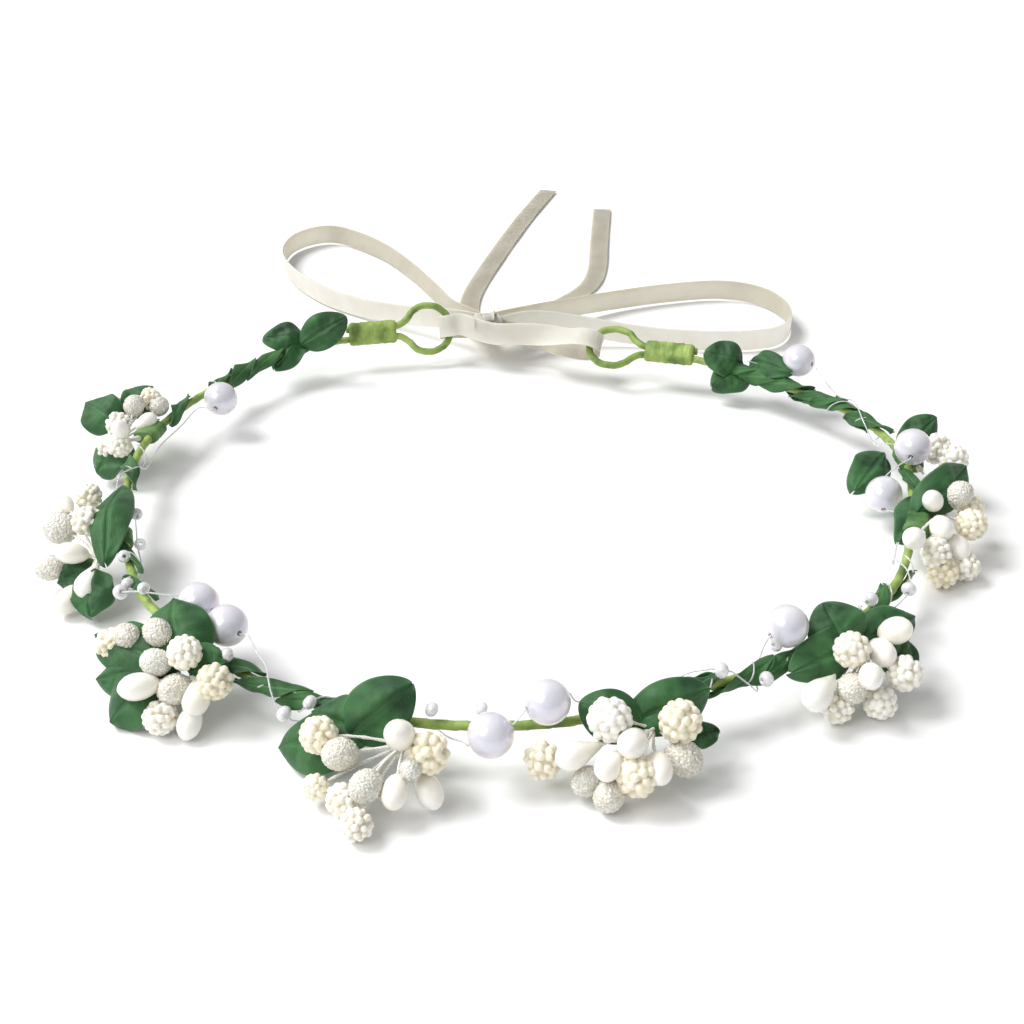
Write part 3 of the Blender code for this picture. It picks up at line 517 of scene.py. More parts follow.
def sugar_coat():
    """Fine glass beads glued all over: each grain a bump of its own, painted shade in the gaps between
    grains, and painted glints on some of them.
    """
    sugar = Finish("sugar_coat", Subsurface_Weight=0.2, Subsurface_Radius=(0.8, 0.7, 0.5),
                   Subsurface_Scale=0.6 * MM, Coat_Weight=0.5, Coat_Roughness=0.12)
    places = sugar.places()
    cells = sugar.node("TexVoronoi", {"feature": "F1"}, Vector=places, Scale=1 / (0.42 * MM))
    grain = sugar.spread(cells.outputs["Distance"], 0.0, 0.75, 1.0, 0.0)
    chance = sugar.part(cells.outputs["Color"], 0)
    tone = sugar.map("tone")
    base = sugar.ramp(sugar.part(tone, 0), [(0.0, (0.80, 0.79, 0.73)), (1.0, (0.77, 0.73, 0.61))])
    # Painted shade: the gaps between the grains are mixed towards a dark beige.
    between = sugar.mix(sugar.spread(grain, 0.4, 0.0, 0.0, 0.6), base, (0.44, 0.42, 0.34))
    # Painted glints: some random grains are mixed towards near-white.
    glint_painted = sugar.mix(sugar.spread(chance, 0.72, 0.8, 0.0, 0.8), between, (0.97, 0.96, 0.93))
    return sugar.wear(Base_Color=glint_painted, Roughness=sugar.spread(chance, 0.5, 0.85, 0.5, 0.1),
                      Normal=sugar.bump(grain, 0.16))


def pearly_paint():
    """Thick pearl paint on a bud: ivory, a touch yellower at the stalk, gently glossy."""
    paint = Finish("pearly_paint", Subsurface_Weight=0.25, Subsurface_Radius=(1.0, 0.8, 0.5),
                   Subsurface_Scale=1.0 * MM, Coat_Weight=0.45, Coat_Roughness=0.16, Sheen_Weight=0.1)
    tone = paint.map("tone")
    colour = paint.ramp(paint.part(tone, 1), [(0.0, (0.86, 0.79, 0.60)), (0.3, (0.92, 0.89, 0.81)),
                                              (1.0, (0.94, 0.92, 0.88))])
    warm = paint.mix(paint.spread(paint.part(tone, 0), 0.5, 1.0, 0.0, 0.5), colour, (0.91, 0.86, 0.71))
    swirl = paint.grain(1.6, detail=4.0)
    soft = paint.mix(paint.spread(swirl, 0.45, 0.8, 0.0, 0.3), warm, (0.84, 0.82, 0.76))
    return paint.wear(Base_Color=soft, Roughness=paint.spread(swirl, 0.3, 0.7, 0.24, 0.42),
                      Normal=paint.bump(paint.grain(1.1), 0.05))


IVORY_DROPS = ivory_drops()
SUGAR_COAT = sugar_coat()
PEARLY_PAINT = pearly_paint()

# %% [markdown]
# The berries' stalks are cotton thread stiffened with starch, white and a little fluffy. A wave along the
# thread, slanted round it, gives the twist of its strands, and its low grooves are darkened as painted shade.

# %% Stalk thread


def starched_thread():
    """White cotton thread, its strands twisted round each other, with painted shade in the grooves between
    them.
    """
    cotton = Finish("starched_thread", Roughness=0.7, Sheen_Weight=0.2)
    strands = cotton.node("TexWave", {"wave_type": "BANDS", "bands_direction": "DIAGONAL"},
                          Vector=cotton.map("wound"), Scale=0.8, Distortion=0.4).outputs[1]
    # Painted shade: the colour is darker where the strand wave is low, in the grooves between strands.
    shade = cotton.ramp(strands, [(0.2, (0.74, 0.72, 0.64)), (0.8, (0.92, 0.91, 0.88))])
    patch = cotton.grain(2.5)
    stained = cotton.mix(cotton.spread(patch, 0.5, 0.8, 0.0, 0.3), shade, (0.80, 0.79, 0.64))
    return cotton.wear(Base_Color=stained, Normal=cotton.bump(strands, 0.07))


STARCHED_THREAD = starched_thread()

# %% [markdown]
# A craft pearl is a plastic ball with many thin coats of pearl lacquer. The light seems to come from
# just under the skin. A clear coat over a slightly rougher base gives two highlights, one sharp and one
# wide, and a faint lilac in the base colour gives the cool body of such pearls. The seed beads and
# the nylon thread are clear, so they let light pass instead.

# %% Pearl, seed bead and nylon


def pearl_lacquer():
    """White pearl lacquer with a cool lilac body, barely seen swirls, and painted shade inside the bore."""
    pearl = Finish("pearl_lacquer", Roughness=0.3, Coat_Weight=1.0, Coat_Roughness=0.2, Coat_IOR=2.0,
                   Sheen_Weight=0.6, Sheen_Roughness=0.4,
                   Subsurface_Weight=0.2, Subsurface_Radius=(0.9, 0.85, 1.0), Subsurface_Scale=1.2 * MM,
                   Specular_IOR_Level=0.8, Thin_Film_Thickness=310.0, Thin_Film_IOR=1.5)
    swirl = pearl.grain(3.5, detail=4.0)
    body = pearl.ramp(swirl, [(0.3, (0.68, 0.665, 0.74)), (0.55, (0.75, 0.74, 0.79)),
                              (0.8, (0.83, 0.82, 0.84))])
    # Painted shade: the colour is darkened inside the bore, where the tone's height is low.
    bore = pearl.mix(pearl.spread(pearl.part(pearl.map("tone"), 1), 0.12, 0.0, 0.0, 0.8), body,
                     (0.42, 0.40, 0.42))
    skin = pearl.grain(1.2)
    return pearl.wear(Base_Color=bore, Roughness=pearl.spread(swirl, 0.3, 0.7, 0.16, 0.28),
                      Normal=pearl.bump(skin, 0.012))


def clear_bead():
    """Clear moulded bead with faint cloudy patches and a few ripples."""
    bead = Finish("clear_bead", Roughness=0.06, IOR=1.49, Transmission_Weight=0.3, Coat_Weight=1.0,
                  Coat_Roughness=0.05, Coat_IOR=1.8, Specular_IOR_Level=0.8)
    cloud = bead.grain(1.1)
    tint = bead.ramp(cloud, [(0.3, (0.95, 0.94, 0.98)), (0.7, (1.0, 1.0, 1.0))])
    return bead.wear(Base_Color=tint, Roughness=bead.spread(cloud, 0.3, 0.7, 0.03, 0.16),
                     Normal=bead.bump(bead.grain(0.9), 0.03))


def clear_nylon():
    """Clear drawn nylon, whitish in scuffed patches."""
    nylon = Finish("clear_nylon", Roughness=0.18, IOR=1.5, Transmission_Weight=0.45, Coat_Weight=0.5,
                   Coat_Roughness=0.08)
    scuff = nylon.grain(0.8)
    tint = nylon.ramp(scuff, [(0.35, (0.80, 0.82, 0.84)), (0.7, (0.93, 0.93, 0.94))])
    return nylon.wear(Base_Color=tint, Normal=nylon.bump(scuff, 0.02))


PEARL_LACQUER = pearl_lacquer()
CLEAR_BEAD = clear_bead()
CLEAR_NYLON = clear_nylon()

# %% [markdown]
# Single-face satin has one glossy side, where long weft floats lie all one way, and one dull side that
# shows the plain weave. The glossy side throws light back in a band and looks pale. The dull side's
# finish is the same cream in a darker, browner colour, which is painted shade. Both are finishes of the
# same ribbon, one on each face, with fine ribs running across it and a firm woven edge. The cloth is thin,
# so some light comes through it, and its shaded runs stay warm. Scattering under the surface does that,
# where a plain colour would turn grey in the shade.

# %% Satin, glossy and dull


def satin(name, thread_light, thread_dark, roughness, anisotropy, sheen):
    """Woven ribbon: fine cross ribs, a firm edge and soft shade changes along it."""
    cloth = Finish(name, Roughness=roughness, Anisotropic=anisotropy, Sheen_Weight=sheen,
                   Sheen_Roughness=0.35, Specular_IOR_Level=0.45, Subsurface_Weight=0.7,
                   Subsurface_Radius=(1.0, 0.97, 0.9), Subsurface_Scale=2.5 * MM)
    wound = cloth.map("wound")
    ribs = cloth.node("TexWave", {"wave_type": "BANDS", "bands_direction": "X"}, Vector=wound, Scale=0.95,
                      Distortion=0.25).outputs[1]
    floats = cloth.node("TexWave", {"wave_type": "BANDS", "bands_direction": "Y"}, Vector=wound, Scale=2.0,
                        Distortion=0.5).outputs[1]
    soft = cloth.grain(9.0)
    colour = cloth.ramp(soft, [(0.3, thread_dark), (0.7, thread_light)])
    ribbed = cloth.mix(cloth.spread(ribs, 0.0, 1.0, 0.0, 0.2), colour, thread_dark)
    edge = cloth.part(cloth.map("tone"), 0)
    edged = cloth.mix(cloth.spread(edge, 0.86, 0.95, 0.0, 0.35), ribbed, thread_light)
    weave = cloth.sum("ADD", ribs, cloth.sum("MULTIPLY", floats, 0.5))
    return cloth.wear(Base_Color=edged, Normal=cloth.bump(weave, 0.035))


SATIN_FACE = satin("satin_face", (0.88, 0.83, 0.71), (0.76, 0.69, 0.55), 0.34, 0.5, 0.25)
# The dull side is the same cream ribbon in a darker, browner colour: painted shade.
SATIN_BACK_SHADED = satin("satin_back_shaded", (0.51, 0.465, 0.355), (0.42, 0.38, 0.285), 0.6, 0.2, 0.1)

# %% [markdown]
# The hoop's core is plain florist's wire: drawn steel, faintly streaked along its length. It shows only
# at the two cut ends, so it keeps its plain shape and only gets its metal.

# %% Steel core


def drawn_steel():
    """Drawn steel wire, streaked and a little dull."""
    steel = Finish("drawn_steel", Metallic=1.0)
    streak = steel.grain(0.7, detail=3.0)
    tint = steel.ramp(streak, [(0.3, (0.40, 0.40, 0.41)), (0.7, (0.62, 0.62, 0.61))])
    return steel.wear(Base_Color=tint, Roughness=steel.spread(streak, 0.3, 0.7, 0.28, 0.5),
                      Normal=steel.bump(streak, 0.01))


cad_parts["core_wire"].data.materials.clear()
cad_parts["core_wire"].data.materials.append(drawn_steel())

# %% [markdown]
# ## The hoop's own line
#
# The whole crown hangs on one wire. Its line is bent by hand a little out of round, and each end turns
# back on itself into an eyelet. The same few bends are used here as for the plain model, so that the
# wound tape, the beads and the leaves all sit exactly on it.

# %% The wire's line, eyelets and all
STEM_RADIUS = 1.2 * MM
GAP = 0.3 * MM
STEM_BENDS = [(-145, 5, 0), (-136, 4, 0), (-126, 2, 0), (-114, 0, 1), (-100, -1, 1), (-84, -3, 0),
              (-68, -3, 0), (-54, -1, 1), (-38, -1, 0), (-24, 0, -1), (-8, 1, 0), (8, 0, 0), (22, -2, 1),
              (36, -1, 0), (50, 1, 1), (64, 2, 0), (80, 2, 0), (96, 5, 1), (110, 4, 1), (122, 1, 0),
              (134, -2, 0), (141, -3, 0)]
EYELETS = {"left": ((-166, 1, 1), (-153, 4.5), 30), "right": ((159, -9, 1), (147, -5), 65)}
EYELET_RADIUS = 6.5 * MM
WIRES_APART = 2 * STEM_RADIUS + GAP + 0.1 * MM
WRAP_START = EYELET_RADIUS + 2.5 * MM
WRAP_LENGTH = 13 * MM
WRAP_END = WRAP_START + WRAP_LENGTH
STEM_STEP = 7 * MM
EYELET_STEP = 2.6 * MM
PAST_WRAP = WRAP_END + 0.8 * MM
INSIDE_WRAP = WRAP_END - 5 * MM


def eyelet_axes(side):
    """An eyelet's middle, the level way from its neck to it, and the way it leans up."""
    (bearing, out_mm, up_mm), (neck_bearing, neck_out), lean = EYELETS[side]
    middle = place(bearing, 0, out_mm, up_mm)
    neck = place(neck_bearing, 0, neck_out, up_mm)
    forward = (middle - neck).normalized()
    back = forward.cross(Vector((0, 0, 1)))
    if back.dot(middle - HOOP_MIDDLE) < 0:
        back = -back
    tilt = math.radians(lean)
    return middle, forward, Vector((0, 0, 1)) * math.cos(tilt) + back * math.sin(tilt)


def eyelet_path(side):
    """From the returned end, round the loop, to the stem where it leaves the wrap."""
    middle, forward, upward = eyelet_axes(side)
    half = WIRES_APART / 2
    path = [middle - forward * s + upward * half for s in (PAST_WRAP, INSIDE_WRAP, WRAP_START)]
    for degrees in range(-28, -333, -19):
        turn = math.radians(180 + degrees)
        path.append(middle + forward * (EYELET_RADIUS * math.cos(turn))
                    + upward * (EYELET_RADIUS * math.sin(turn)))
    path += [middle - forward * s - upward * half for s in (WRAP_START, INSIDE_WRAP, PAST_WRAP)]
    return path


def stem_path():
    """The whole wire as closely spaced points, and the part of it that goes round the head."""
    left = eyelet_path("left")
    right = list(reversed(eyelet_path("right")))
    bends = [place(bearing, 0, out, up) for bearing, out, up in STEM_BENDS]
    round_hoop = smooth_points([left[-2], left[-1], *bends, right[0], right[1]], STEM_STEP)
    round_hoop = [Vector(p) for p in round_hoop]
    near_left = (left[-1] - left[-2]).length
    near_right = (right[1] - right[0]).length
    kept = [p for p in round_hoop
            if (p - left[-2]).length > near_left + 2 * MM and (p - right[1]).length > near_right + 2 * MM]
    loop_left = left[:3] + [Vector(p) for p in smooth_points(left[3:-3], EYELET_STEP)] + left[-3:]
    loop_right = right[:3] + [Vector(p) for p in smooth_points(right[3:-3], EYELET_STEP)] + right[-3:]
    return loop_left + kept + loop_right, kept


STEM_POINTS, HOOP_POINTS = stem_path()
low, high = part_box("hoop_tape")
print("wire, mm:", round(line_length(STEM_POINTS) / MM), " plain tape spans, mm:",
      [round(c / MM) for c in high - low])

# %% Points and frames on the hoop


def bearing_of(point):
    """The bearing of a point round the hoop's middle, in degrees."""
    level = point - HOOP_MIDDLE
    return math.degrees(math.atan2(level.x, -level.y))


HOOP_BEARINGS = [bearing_of(p) for p in HOOP_POINTS]


def hoop_point(bearing):
    """The middle of the stem at a bearing."""
    return Vector([float(np.interp(bearing, HOOP_BEARINGS, [p[k] for p in HOOP_POINTS])) for k in range(3)])


def near_hoop(bearing, out_mm, up_mm):
    """A point measured from the middle of the stem as it really runs."""
    out = direction(bearing)[0]
    return hoop_point(bearing) + out * (out_mm * MM) + Vector((0, 0, up_mm * MM))


def hoop_frames(start, end, step_mm):
    """Frames on the stem between two bearings, sideways pointing out of the hoop."""
    count = max(3, round(math.radians(end - start) * HOOP_RADIUS / MM / step_mm))
    points = [hoop_point(b) for b in np.linspace(start, end, count + 1)]
    frames = []
    for point, ahead in zip(points, tangents(points)):
        side = direction(bearing_of(point))[0]
        side = (side - ahead * side.dot(ahead)).normalized()
        frames.append((point, side, side.cross(ahead).normalized()))
    return frames


# %% [markdown]
# ## The ribbon
#
# One satin ribbon, six millimetres wide, is threaded through both eyelets and tied in a bow. The crown
# lies on a table here, so the bow lies behind it: the loops stand on their edge, as stiff satin does, and
# the two tails lie flat with their dull side up. Cloth simulation could drop the ribbon into place, but
# a narrow ribbon keeps the way it was tied, so its line is laid run by run, and its width leans
# by a stated angle. It is made first, because its length has to be true.

# %% The ribbon's line
RIBBON_WIDTH = 6 * MM
KNOT = (-5.0, 87.5, 11.0)
KNOT_WIDTHWAYS = (0.0, 0.3, 0.95)
RIBBON_TURN = [(13, -2.6), (9.2, -3.2), (5.8, -2.8), (3.5, -1.1),
               (3.5, 1.1), (5.8, 2.8), (9.2, 3.2), (13, 2.6)]
BAND_IN_FRONT = [(-4, 83.0, 10.8), (5, 81.0, 11.5)]
BAND_BEHIND = [(10, 84.5, 8.5), (2, 87.0, 9.3), (-3.6, 87.8, 10.1)]
RIBBON_RUNS = {
    "tail_left": ((1.0, 0.0), [
        (-5.6, 87.3, 10.3, 58), (-8, 96, 9, 80), (-10.5, 107, 3.5, 90), (-11.5, 120, 0.9, 90),
        (-11, 134, 0.6, 90), (-8, 150, 0.6, 90), (-3.5, 169, 0.6, 90), (1.5, 189, 0.6, 90),
        (7.5, 211, 0.6, 90), (14.5, 234, 0.6, 90)]),
    "loop_left": ((0.0, 1.0), [
        (-4.3, 86.9, 10.7, 4), (-10, 97, 9.5, 3), (-16, 112, 6, 0), (-22, 130, 4, 0), (-31, 150, 3.6, 0),
        (-43, 169, 3.6, 0), (-58, 181, 3.6, 0), (-69, 174, 3.6, 0), (-71.5, 159, 3.6, 0), (-66, 143, 3.6, 0),
        (-55, 128, 3.6, 0), (-42, 117, 4, 0), (-28, 107, 6, 0), (-15, 97, 9.3, -3), (-6.4, 88.0, 11.4, -5)]),
    "loop_right": ((0.0, 1.0), [
        (-5.4, 88.6, 11.2, 7), (3, 98, 9.2, 5), (14, 111, 6, 0), (30, 122.5, 4, 0), (49, 130, 3.6, 0),
        (66, 132.5, 3.6, 0), (78, 126, 3.6, 0), (83, 112, 3.6, 0), (79.5, 100, 3.6, 0), (70, 95, 3.6, 0),
        (52, 95, 3.6, 0), (36, 98, 4, 0), (20, 99, 6.5, 0), (7, 95, 9.7, -4), (-3.9, 87.0, 10.9, -8)]),
    "tail_right": ((1.0, -0.4), [
        (-4.4, 87.7, 10.6, 50), (-1.5, 97, 8.5, 80), (4, 110, 3, 90), (10.5, 122, 0.9, 90),
        (18, 131, 0.6, 90), (25, 142, 0.6, 90), (28.5, 156, 0.6, 90), (30, 175, 0.6, 90),
        (31.5, 195, 0.6, 90), (33, 214, 0.6, 90)]),
}


def leaning_stops(leans_to, route):
    """A ribbon run's stops, each with the way its width points."""
    toward = Vector((*leans_to, 0.0)).normalized()
    stops = []
    for x, y, z, lean_degrees in route:
        lean = math.radians(lean_degrees)
        width = Vector((0, 0, 1)) * math.cos(lean) + toward * math.sin(lean)
        stops.append((*(HOOP_MIDDLE + Vector((x, y, z)) * MM), *width))
    return stops


def turn_stops(side):
    """The ribbon's way round one eyelet's rim and through its hole, lying flat against the wire."""
    middle, forward, upward = eyelet_axes(side)
    through = forward.cross(upward)
    return [(*(middle + forward * (f * MM) + through * (t * MM)), *upward) for f, t in RIBBON_TURN]


def knot_stops(points):
    """Stops near the knot, their width pointing almost straight up."""
    return [(*(HOOP_MIDDLE + Vector(p) * MM), *KNOT_WIDTHWAYS) for p in points]


def ribbon_frames(stops, step):
    """Frames along a ribbon run: its point, its widthways direction and its face."""
    smooth = smooth_points(stops, step)
    points = [Vector(s[:3]) for s in smooth]
    frames = []
    for point, ahead, stop in zip(points, tangents(points), smooth):
        width = Vector(stop[3:])
        width = (width - ahead * width.dot(ahead)).normalized()
        frames.append((point, width, ahead.cross(width).normalized()))
    return frames


RUN_STEP = 1.3 * MM
BAND_STEP = 0.6 * MM
runs = {name: ribbon_frames(leaning_stops(*shape), RUN_STEP) for name, shape in RIBBON_RUNS.items()}
band_stops = (knot_stops([KNOT]) + turn_stops("left")[1:-1] + knot_stops(BAND_IN_FRONT)
              + turn_stops("right") + knot_stops(BAND_BEHIND))
runs["band"] = ribbon_frames(band_stops, BAND_STEP)
print("points on each run:", {name: len(frames) for name, frames in runs.items()})

# %% [markdown]
# Satin ribbon is thin, but it isn't a flat strip. Its woven edges are a little thicker, its middle is
# slack, and it keeps soft waves from the spool. So the strip has a row of corners across its
# width, a thickness of a fifth of a millimetre, and small smooth waves. Its two faces get the two
# finishes, and `glossy` says which face the satin is on.

# %% The ribbon as a woven strip
RIBBON_HALF_THICKNESS = 0.1 * MM
ACROSS = [-1.0, -0.96, -0.88, -0.6, -0.3, 0.0, 0.3, 0.6, 0.88, 0.96, 1.0]


def add_ribbon(shape, frames, glossy, seed, slack_mm=0.22, pinch=None):
    """A strip along frames; glossy is 1 if the satin is on the face side and -1 if on the back."""
    fronts = []
    backs = []
    wound = []
    tone = []
    run = 0.0
    for i, (point, width, face) in enumerate(frames):
        if i:
            run += (point - frames[i - 1][0]).length
        half = RIBBON_WIDTH / 2 * (pinch(i / (len(frames) - 1)) if pinch else 1.0)
        for across in ACROSS:
            wave = noise.noise(Vector((run / (14 * MM), across * 0.8, seed))) * slack_mm * MM
            dish = -slack_mm * MM * 0.6 * (1 - across * across)
            middle = point + width * (across * half) + face * (wave + dish)
            firm = RIBBON_HALF_THICKNESS * (1.5 if 0.85 < abs(across) < 0.99 else 1.0)
            fronts.append(middle + face * firm)
            backs.append(middle - face * firm)
            wound.append((run / MM, across * 3.0))
            tone.append((abs(across), 0.5))
    front, back, rim = sheet_faces(len(frames), len(ACROSS))
    start = len(shape.corners)
    shape.add(fronts + backs, [], wound + wound, tone + tone)
    # The dull faces and the rim get the second finish, the satin's darker copy, which is painted shade.
    satin_faces, dull_faces = (front, back) if glossy > 0 else (back, front)
    for faces, finish in ((satin_faces, 0), (dull_faces, 1), (rim, 1)):
        shape.cover(start, faces, finish)


GLOSSY_SIDES = {"tail_left": 1, "loop_left": 1, "loop_right": -1, "tail_right": 1, "band": 1}
for number, (name, glossy) in enumerate(GLOSSY_SIDES.items()):
    strip = Shape()
    add_ribbon(strip, runs[name], glossy, 1.7 + 3.1 * number)
    finished("ribbon_" + name, strip, [SATIN_FACE, SATIN_BACK_SHADED], ["ribbon"])

# %% [markdown]
# The knot hides where the strands cross. In a bow the ribbon's own end is wound once round the middle and
# pulled tight, so it pinches narrow and puckers. The winding here is nearly one and a half turns of the
# same strip, the end lying over the start, with a narrow pleat on each side of it.

# %% The knot
KNOT_TURN_STEPS = 46


def knot_winding(turns, reach, height, lean, shift_mm, growth_mm):
    """Frames of a strip wound round the crossing strands."""
    middle = HOOP_MIDDLE + Vector(KNOT) * MM + Vector((shift_mm * MM, 0, 0))
    axis = Vector((math.cos(lean), math.sin(lean), 0.12)).normalized()
    level = Vector((-axis.y, axis.x, 0)).normalized()
    rise = axis.cross(level)
    frames = []
    for k in range(KNOT_TURN_STEPS + 1):
        share = k / KNOT_TURN_STEPS
        turn = math.tau * turns * share
        grown = growth_mm * MM * share
        outward = (level * (math.cos(turn) * (reach * MM + grown))
                   + rise * (math.sin(turn) * (height * MM + grown)))
        frames.append((middle + outward, axis, outward.normalized()))
    return frames


KNOT_WINDINGS = [
    ((1.4, 2.5, 3.7, 0.15, 0.3, 0.5), 21.3, 0.5, lambda share: 0.62 + 0.2 * math.cos(share * 9.0)),
    ((1.1, 2.2, 3.3, -0.35, -1.6, 0.3), 25.8, 0.6, lambda share: 0.5 + 0.15 * math.sin(share * 7.0)),
    ((1.1, 2.3, 3.2, 0.55, 1.9, 0.3), 31.1, 0.6, lambda share: 0.5 + 0.12 * math.cos(share * 8.0 + 1.0)),
]
knot_shape = Shape()
for winding, seed, slack_mm, pinch in KNOT_WINDINGS:
    add_ribbon(knot_shape, knot_winding(*winding), 1, seed, slack_mm, pinch)
knot = finished("ribbon_knot", knot_shape, [SATIN_FACE, SATIN_BACK_SHADED], ["ribbon"])
knot_low = min(c[2] for c in knot_shape.corners)
print("the knot's lowest point is", round(knot_low / MM, 1), "mm above the table")

# %% The ribbon's true lengths
RIBBON_ENDS = {"loop_left": ("knot", "loose", [knot]), "loop_right": ("knot", "loose", []),
               "tail_left": ("bare", "loose", []), "tail_right": ("bare", "loose", []),
               "band": ("knot", "taut", [])}
total = 0.0
for name, (far_end, lay, with_pieces) in RIBBON_ENDS.items():
    path = [point for point, width, face in runs[name]]
    length = line_length(path)
    total += length
    print(name, "mm:", round(length / MM))
print("ribbon outside the knot, mm:", round(total / MM))

# %% [markdown]
# ## The wound stem
#
# Stem tape goes on at a slant, each turn lying over a third of the last. The turns show as
# a shallow screw of overlaps, with painted shade darkening the colour at the foot of each edge. A bump
# could fake the step, but the edge shows on the stem's outline too, so the tube itself rises along each
# turn and drops at its edge. This tube is a fifth of a millimetre slimmer all round than the plain stem,
# which looked too thick beside the berries.

# %% Tape wound on the stem
TAPE_PITCH = 4.2 * MM
TAPE_THICKNESS = 0.15 * MM
TAPED_RADIUS = 1.02 * MM
EDGE_SHADE = 4.0
STEM_SIDES = 12
WOUND_STEP = 0.65 * MM


def wound_turns(run, turn, pitch):
    """How far across its own turn the tape is, from 0 at its covered edge to 1 at its free one."""
    return (run / pitch + turn / math.tau) % 1.0


def add_wound_tube(shape, frames, radius, pitch, sides):
    """A tube of tape: the radius rises across each turn and drops at its free edge."""
    corners = []
    wound = []
    tone = []
    run = 0.0
    for i, (point, side, up) in enumerate(frames):
        if i:
            run += (point - frames[i - 1][0]).length
        for k in range(sides):
            turn = math.tau * k / sides
            share = wound_turns(run, turn, pitch)
            crinkle = noise.noise(Vector((run / (0.9 * MM), turn * 1.5, 3.0))) * 0.05 * MM
            reach = radius - TAPE_THICKNESS + TAPE_THICKNESS * share + crinkle
            corners.append(around(point, side, up, turn, reach))
            wound.append((run / MM, reach / MM * turn))
            # The tone's height is low just past each turn's edge, where the tape finish paints shade.
            tone.append((0.5, min(1.0, share * EDGE_SHADE)))
    shape.add(corners, tube_faces(len(frames), sides), wound, tone)


stem_line = [Vector(p) for p in smooth_points(STEM_POINTS, WOUND_STEP)]
stem_shape = Shape()
add_wound_tube(stem_shape, carried_frames(stem_line, eyelet_axes("left")[2]), TAPED_RADIUS, TAPE_PITCH,
               STEM_SIDES)
finished("stem_tape", stem_shape, [LIME_TAPE], ["hoop_tape"])
print("turns of tape on the stem:", round(line_length(stem_line) / TAPE_PITCH))

# %% [markdown]
# Below each eyelet the wire's end lies back along the stem, and tape binds the two together. The same
# binding holds each spray's bundle of stalks to the hoop. Both are wound flat-sided over two round things
# side by side, so their outline is a slot, drawn in at the ends where the last turn is pressed down.

# %% Bindings over two wires
SPRAY_ROD_RADIUS = 0.8 * MM
ROD_FROM_STEM = STEM_RADIUS + SPRAY_ROD_RADIUS + GAP
SPRAY_WRAP_LENGTH = 7 * MM
BINDING_WALL = 0.5 * MM
BINDING_PITCH = 2.4 * MM
BINDING_EDGE_SHADE = 3.5
BINDING_LAP = 0.2 * MM
DRAWN_IN_BY = 0.35 * MM
DRAWN_IN_OVER = 0.9 * MM
SLOT_POINTS = 26
EYELET_BINDING_STEPS = 30


def slot_point(half_length, radius, turn):
    """A point on a slot-shaped outline, as (sideways, upward), and it is where turn looks."""
    sideways = radius * math.cos(turn)
    shift = half_length * max(-1.0, min(1.0, math.cos(turn) * 2.2))
    return sideways + shift, radius * math.sin(turn)


def add_binding(shape, frames, half_length, radius, pitch, seed):
    """Tape bound over two things side by side; frames' sideways is the slot's long way."""
    corners = []
    wound = []
    tone = []
    run = 0.0
    total = line_length([f[0] for f in frames])
    for i, (point, side, up) in enumerate(frames):
        if i:
            run += (point - frames[i - 1][0]).length
        end = min(run, total - run)
        drawn_in = DRAWN_IN_BY * max(0.0, 1.0 - end / DRAWN_IN_OVER) ** 2
        for k in range(SLOT_POINTS):
            turn = math.tau * k / SLOT_POINTS
            share = wound_turns(run + 0.3 * MM * math.sin(turn * 2 + seed), turn, pitch)
            crinkle = noise.noise(Vector((run / (0.8 * MM), turn * 1.5, seed))) * 0.09 * MM
            a, b = slot_point(half_length, radius + BINDING_LAP * share - drawn_in + crinkle, turn)
            corners.append(point + side * a + up * b)
            wound.append((run / MM, 2.0 * turn))
            # The tone's height is low at the foot of each turn's edge, where the tape finish paints shade.
            tone.append((0.5, min(1.0, share * BINDING_EDGE_SHADE)))
    shape.add(corners, tube_faces(len(frames), SLOT_POINTS), wound, tone)


for side in EYELETS:
    middle, forward, upward = eyelet_axes(side)
    across = forward.cross(upward).normalized()
    frames = [(middle - forward * (WRAP_START + WRAP_LENGTH * k / EYELET_BINDING_STEPS), upward, across)
              for k in range(EYELET_BINDING_STEPS + 1)]
    binding = Shape()
    add_binding(binding, frames, WIRES_APART / 2, STEM_RADIUS + BINDING_WALL, BINDING_PITCH, len(side))
    finished(f"{side}_eyelet_binding", binding, [LIME_TAPE], [f"{side}_eyelet_wrap"])

# %% [markdown]
# ## Leafy twists
#
# Between the sprays the maker lays long narrow cloth leaves round the stem. Each is a blade that turns
# round the stem in a slow screw, nearly half a turn over its length, and hides most of the lime tape under
# it. Its edges stand off the stem a little, as stiff cloth does, and it narrows at both ends. It is
# modelled as a curved sheet on a screw line, with its width set square to that line, because a flat leaf
# laid on the stem would float off it wherever the wire bends.

# %% Blades wound round the stem
TWISTS = {
    "leafy_wrap_left_back": [(-149, -138, 45, 3.0), (-142, -131, 30, 3.0), (-135, -125, 60, 3.0)],
    "leafy_wrap_left_front": [(-41, -31, -30, 2.6), (-35, -24, -50, 2.7), (-28, -19, -20, 2.2)],
    "leafy_wrap_right_front": [(18, 28, -40, 3.2), (25, 36, -75, 2.6), (31, 43, -45, 2.9),
                               (24, 34, 150, 2.2)],
    "leafy_wrap_right_back": [(103, 113, 45, 2.8), (107, 117, 225, 2.6), (110, 120, 30, 3.2),
                              (114, 125, 70, 3.0), (119, 129, 230, 2.8), (121, 131, 40, 3.3),
                              (126, 136, 60, 3.2), (130, 141, 30, 3.0)],
}
LOOSE_TWISTS = [(-131, -120, 0, 2.6), (-119, -109, 20, 2.5), (-98, -88, 10, 2.4), (-72, -63, 20, 2.3),
                (52, 60, 10, 2.6), (58, 67, 200, 2.5), (84, 93, 10, 2.2), (-62, -54, 20, 1.8)]
TWIST_PITCH_MM = 34.0
BLADE_LIES_AT_MM = 1.25
BLADE_HALF_THICKNESS_MM = 0.13
BLADE_RIB_WIDTH = 0.12
BLADE_COLUMNS = 11
BLADE_ROWS = 40


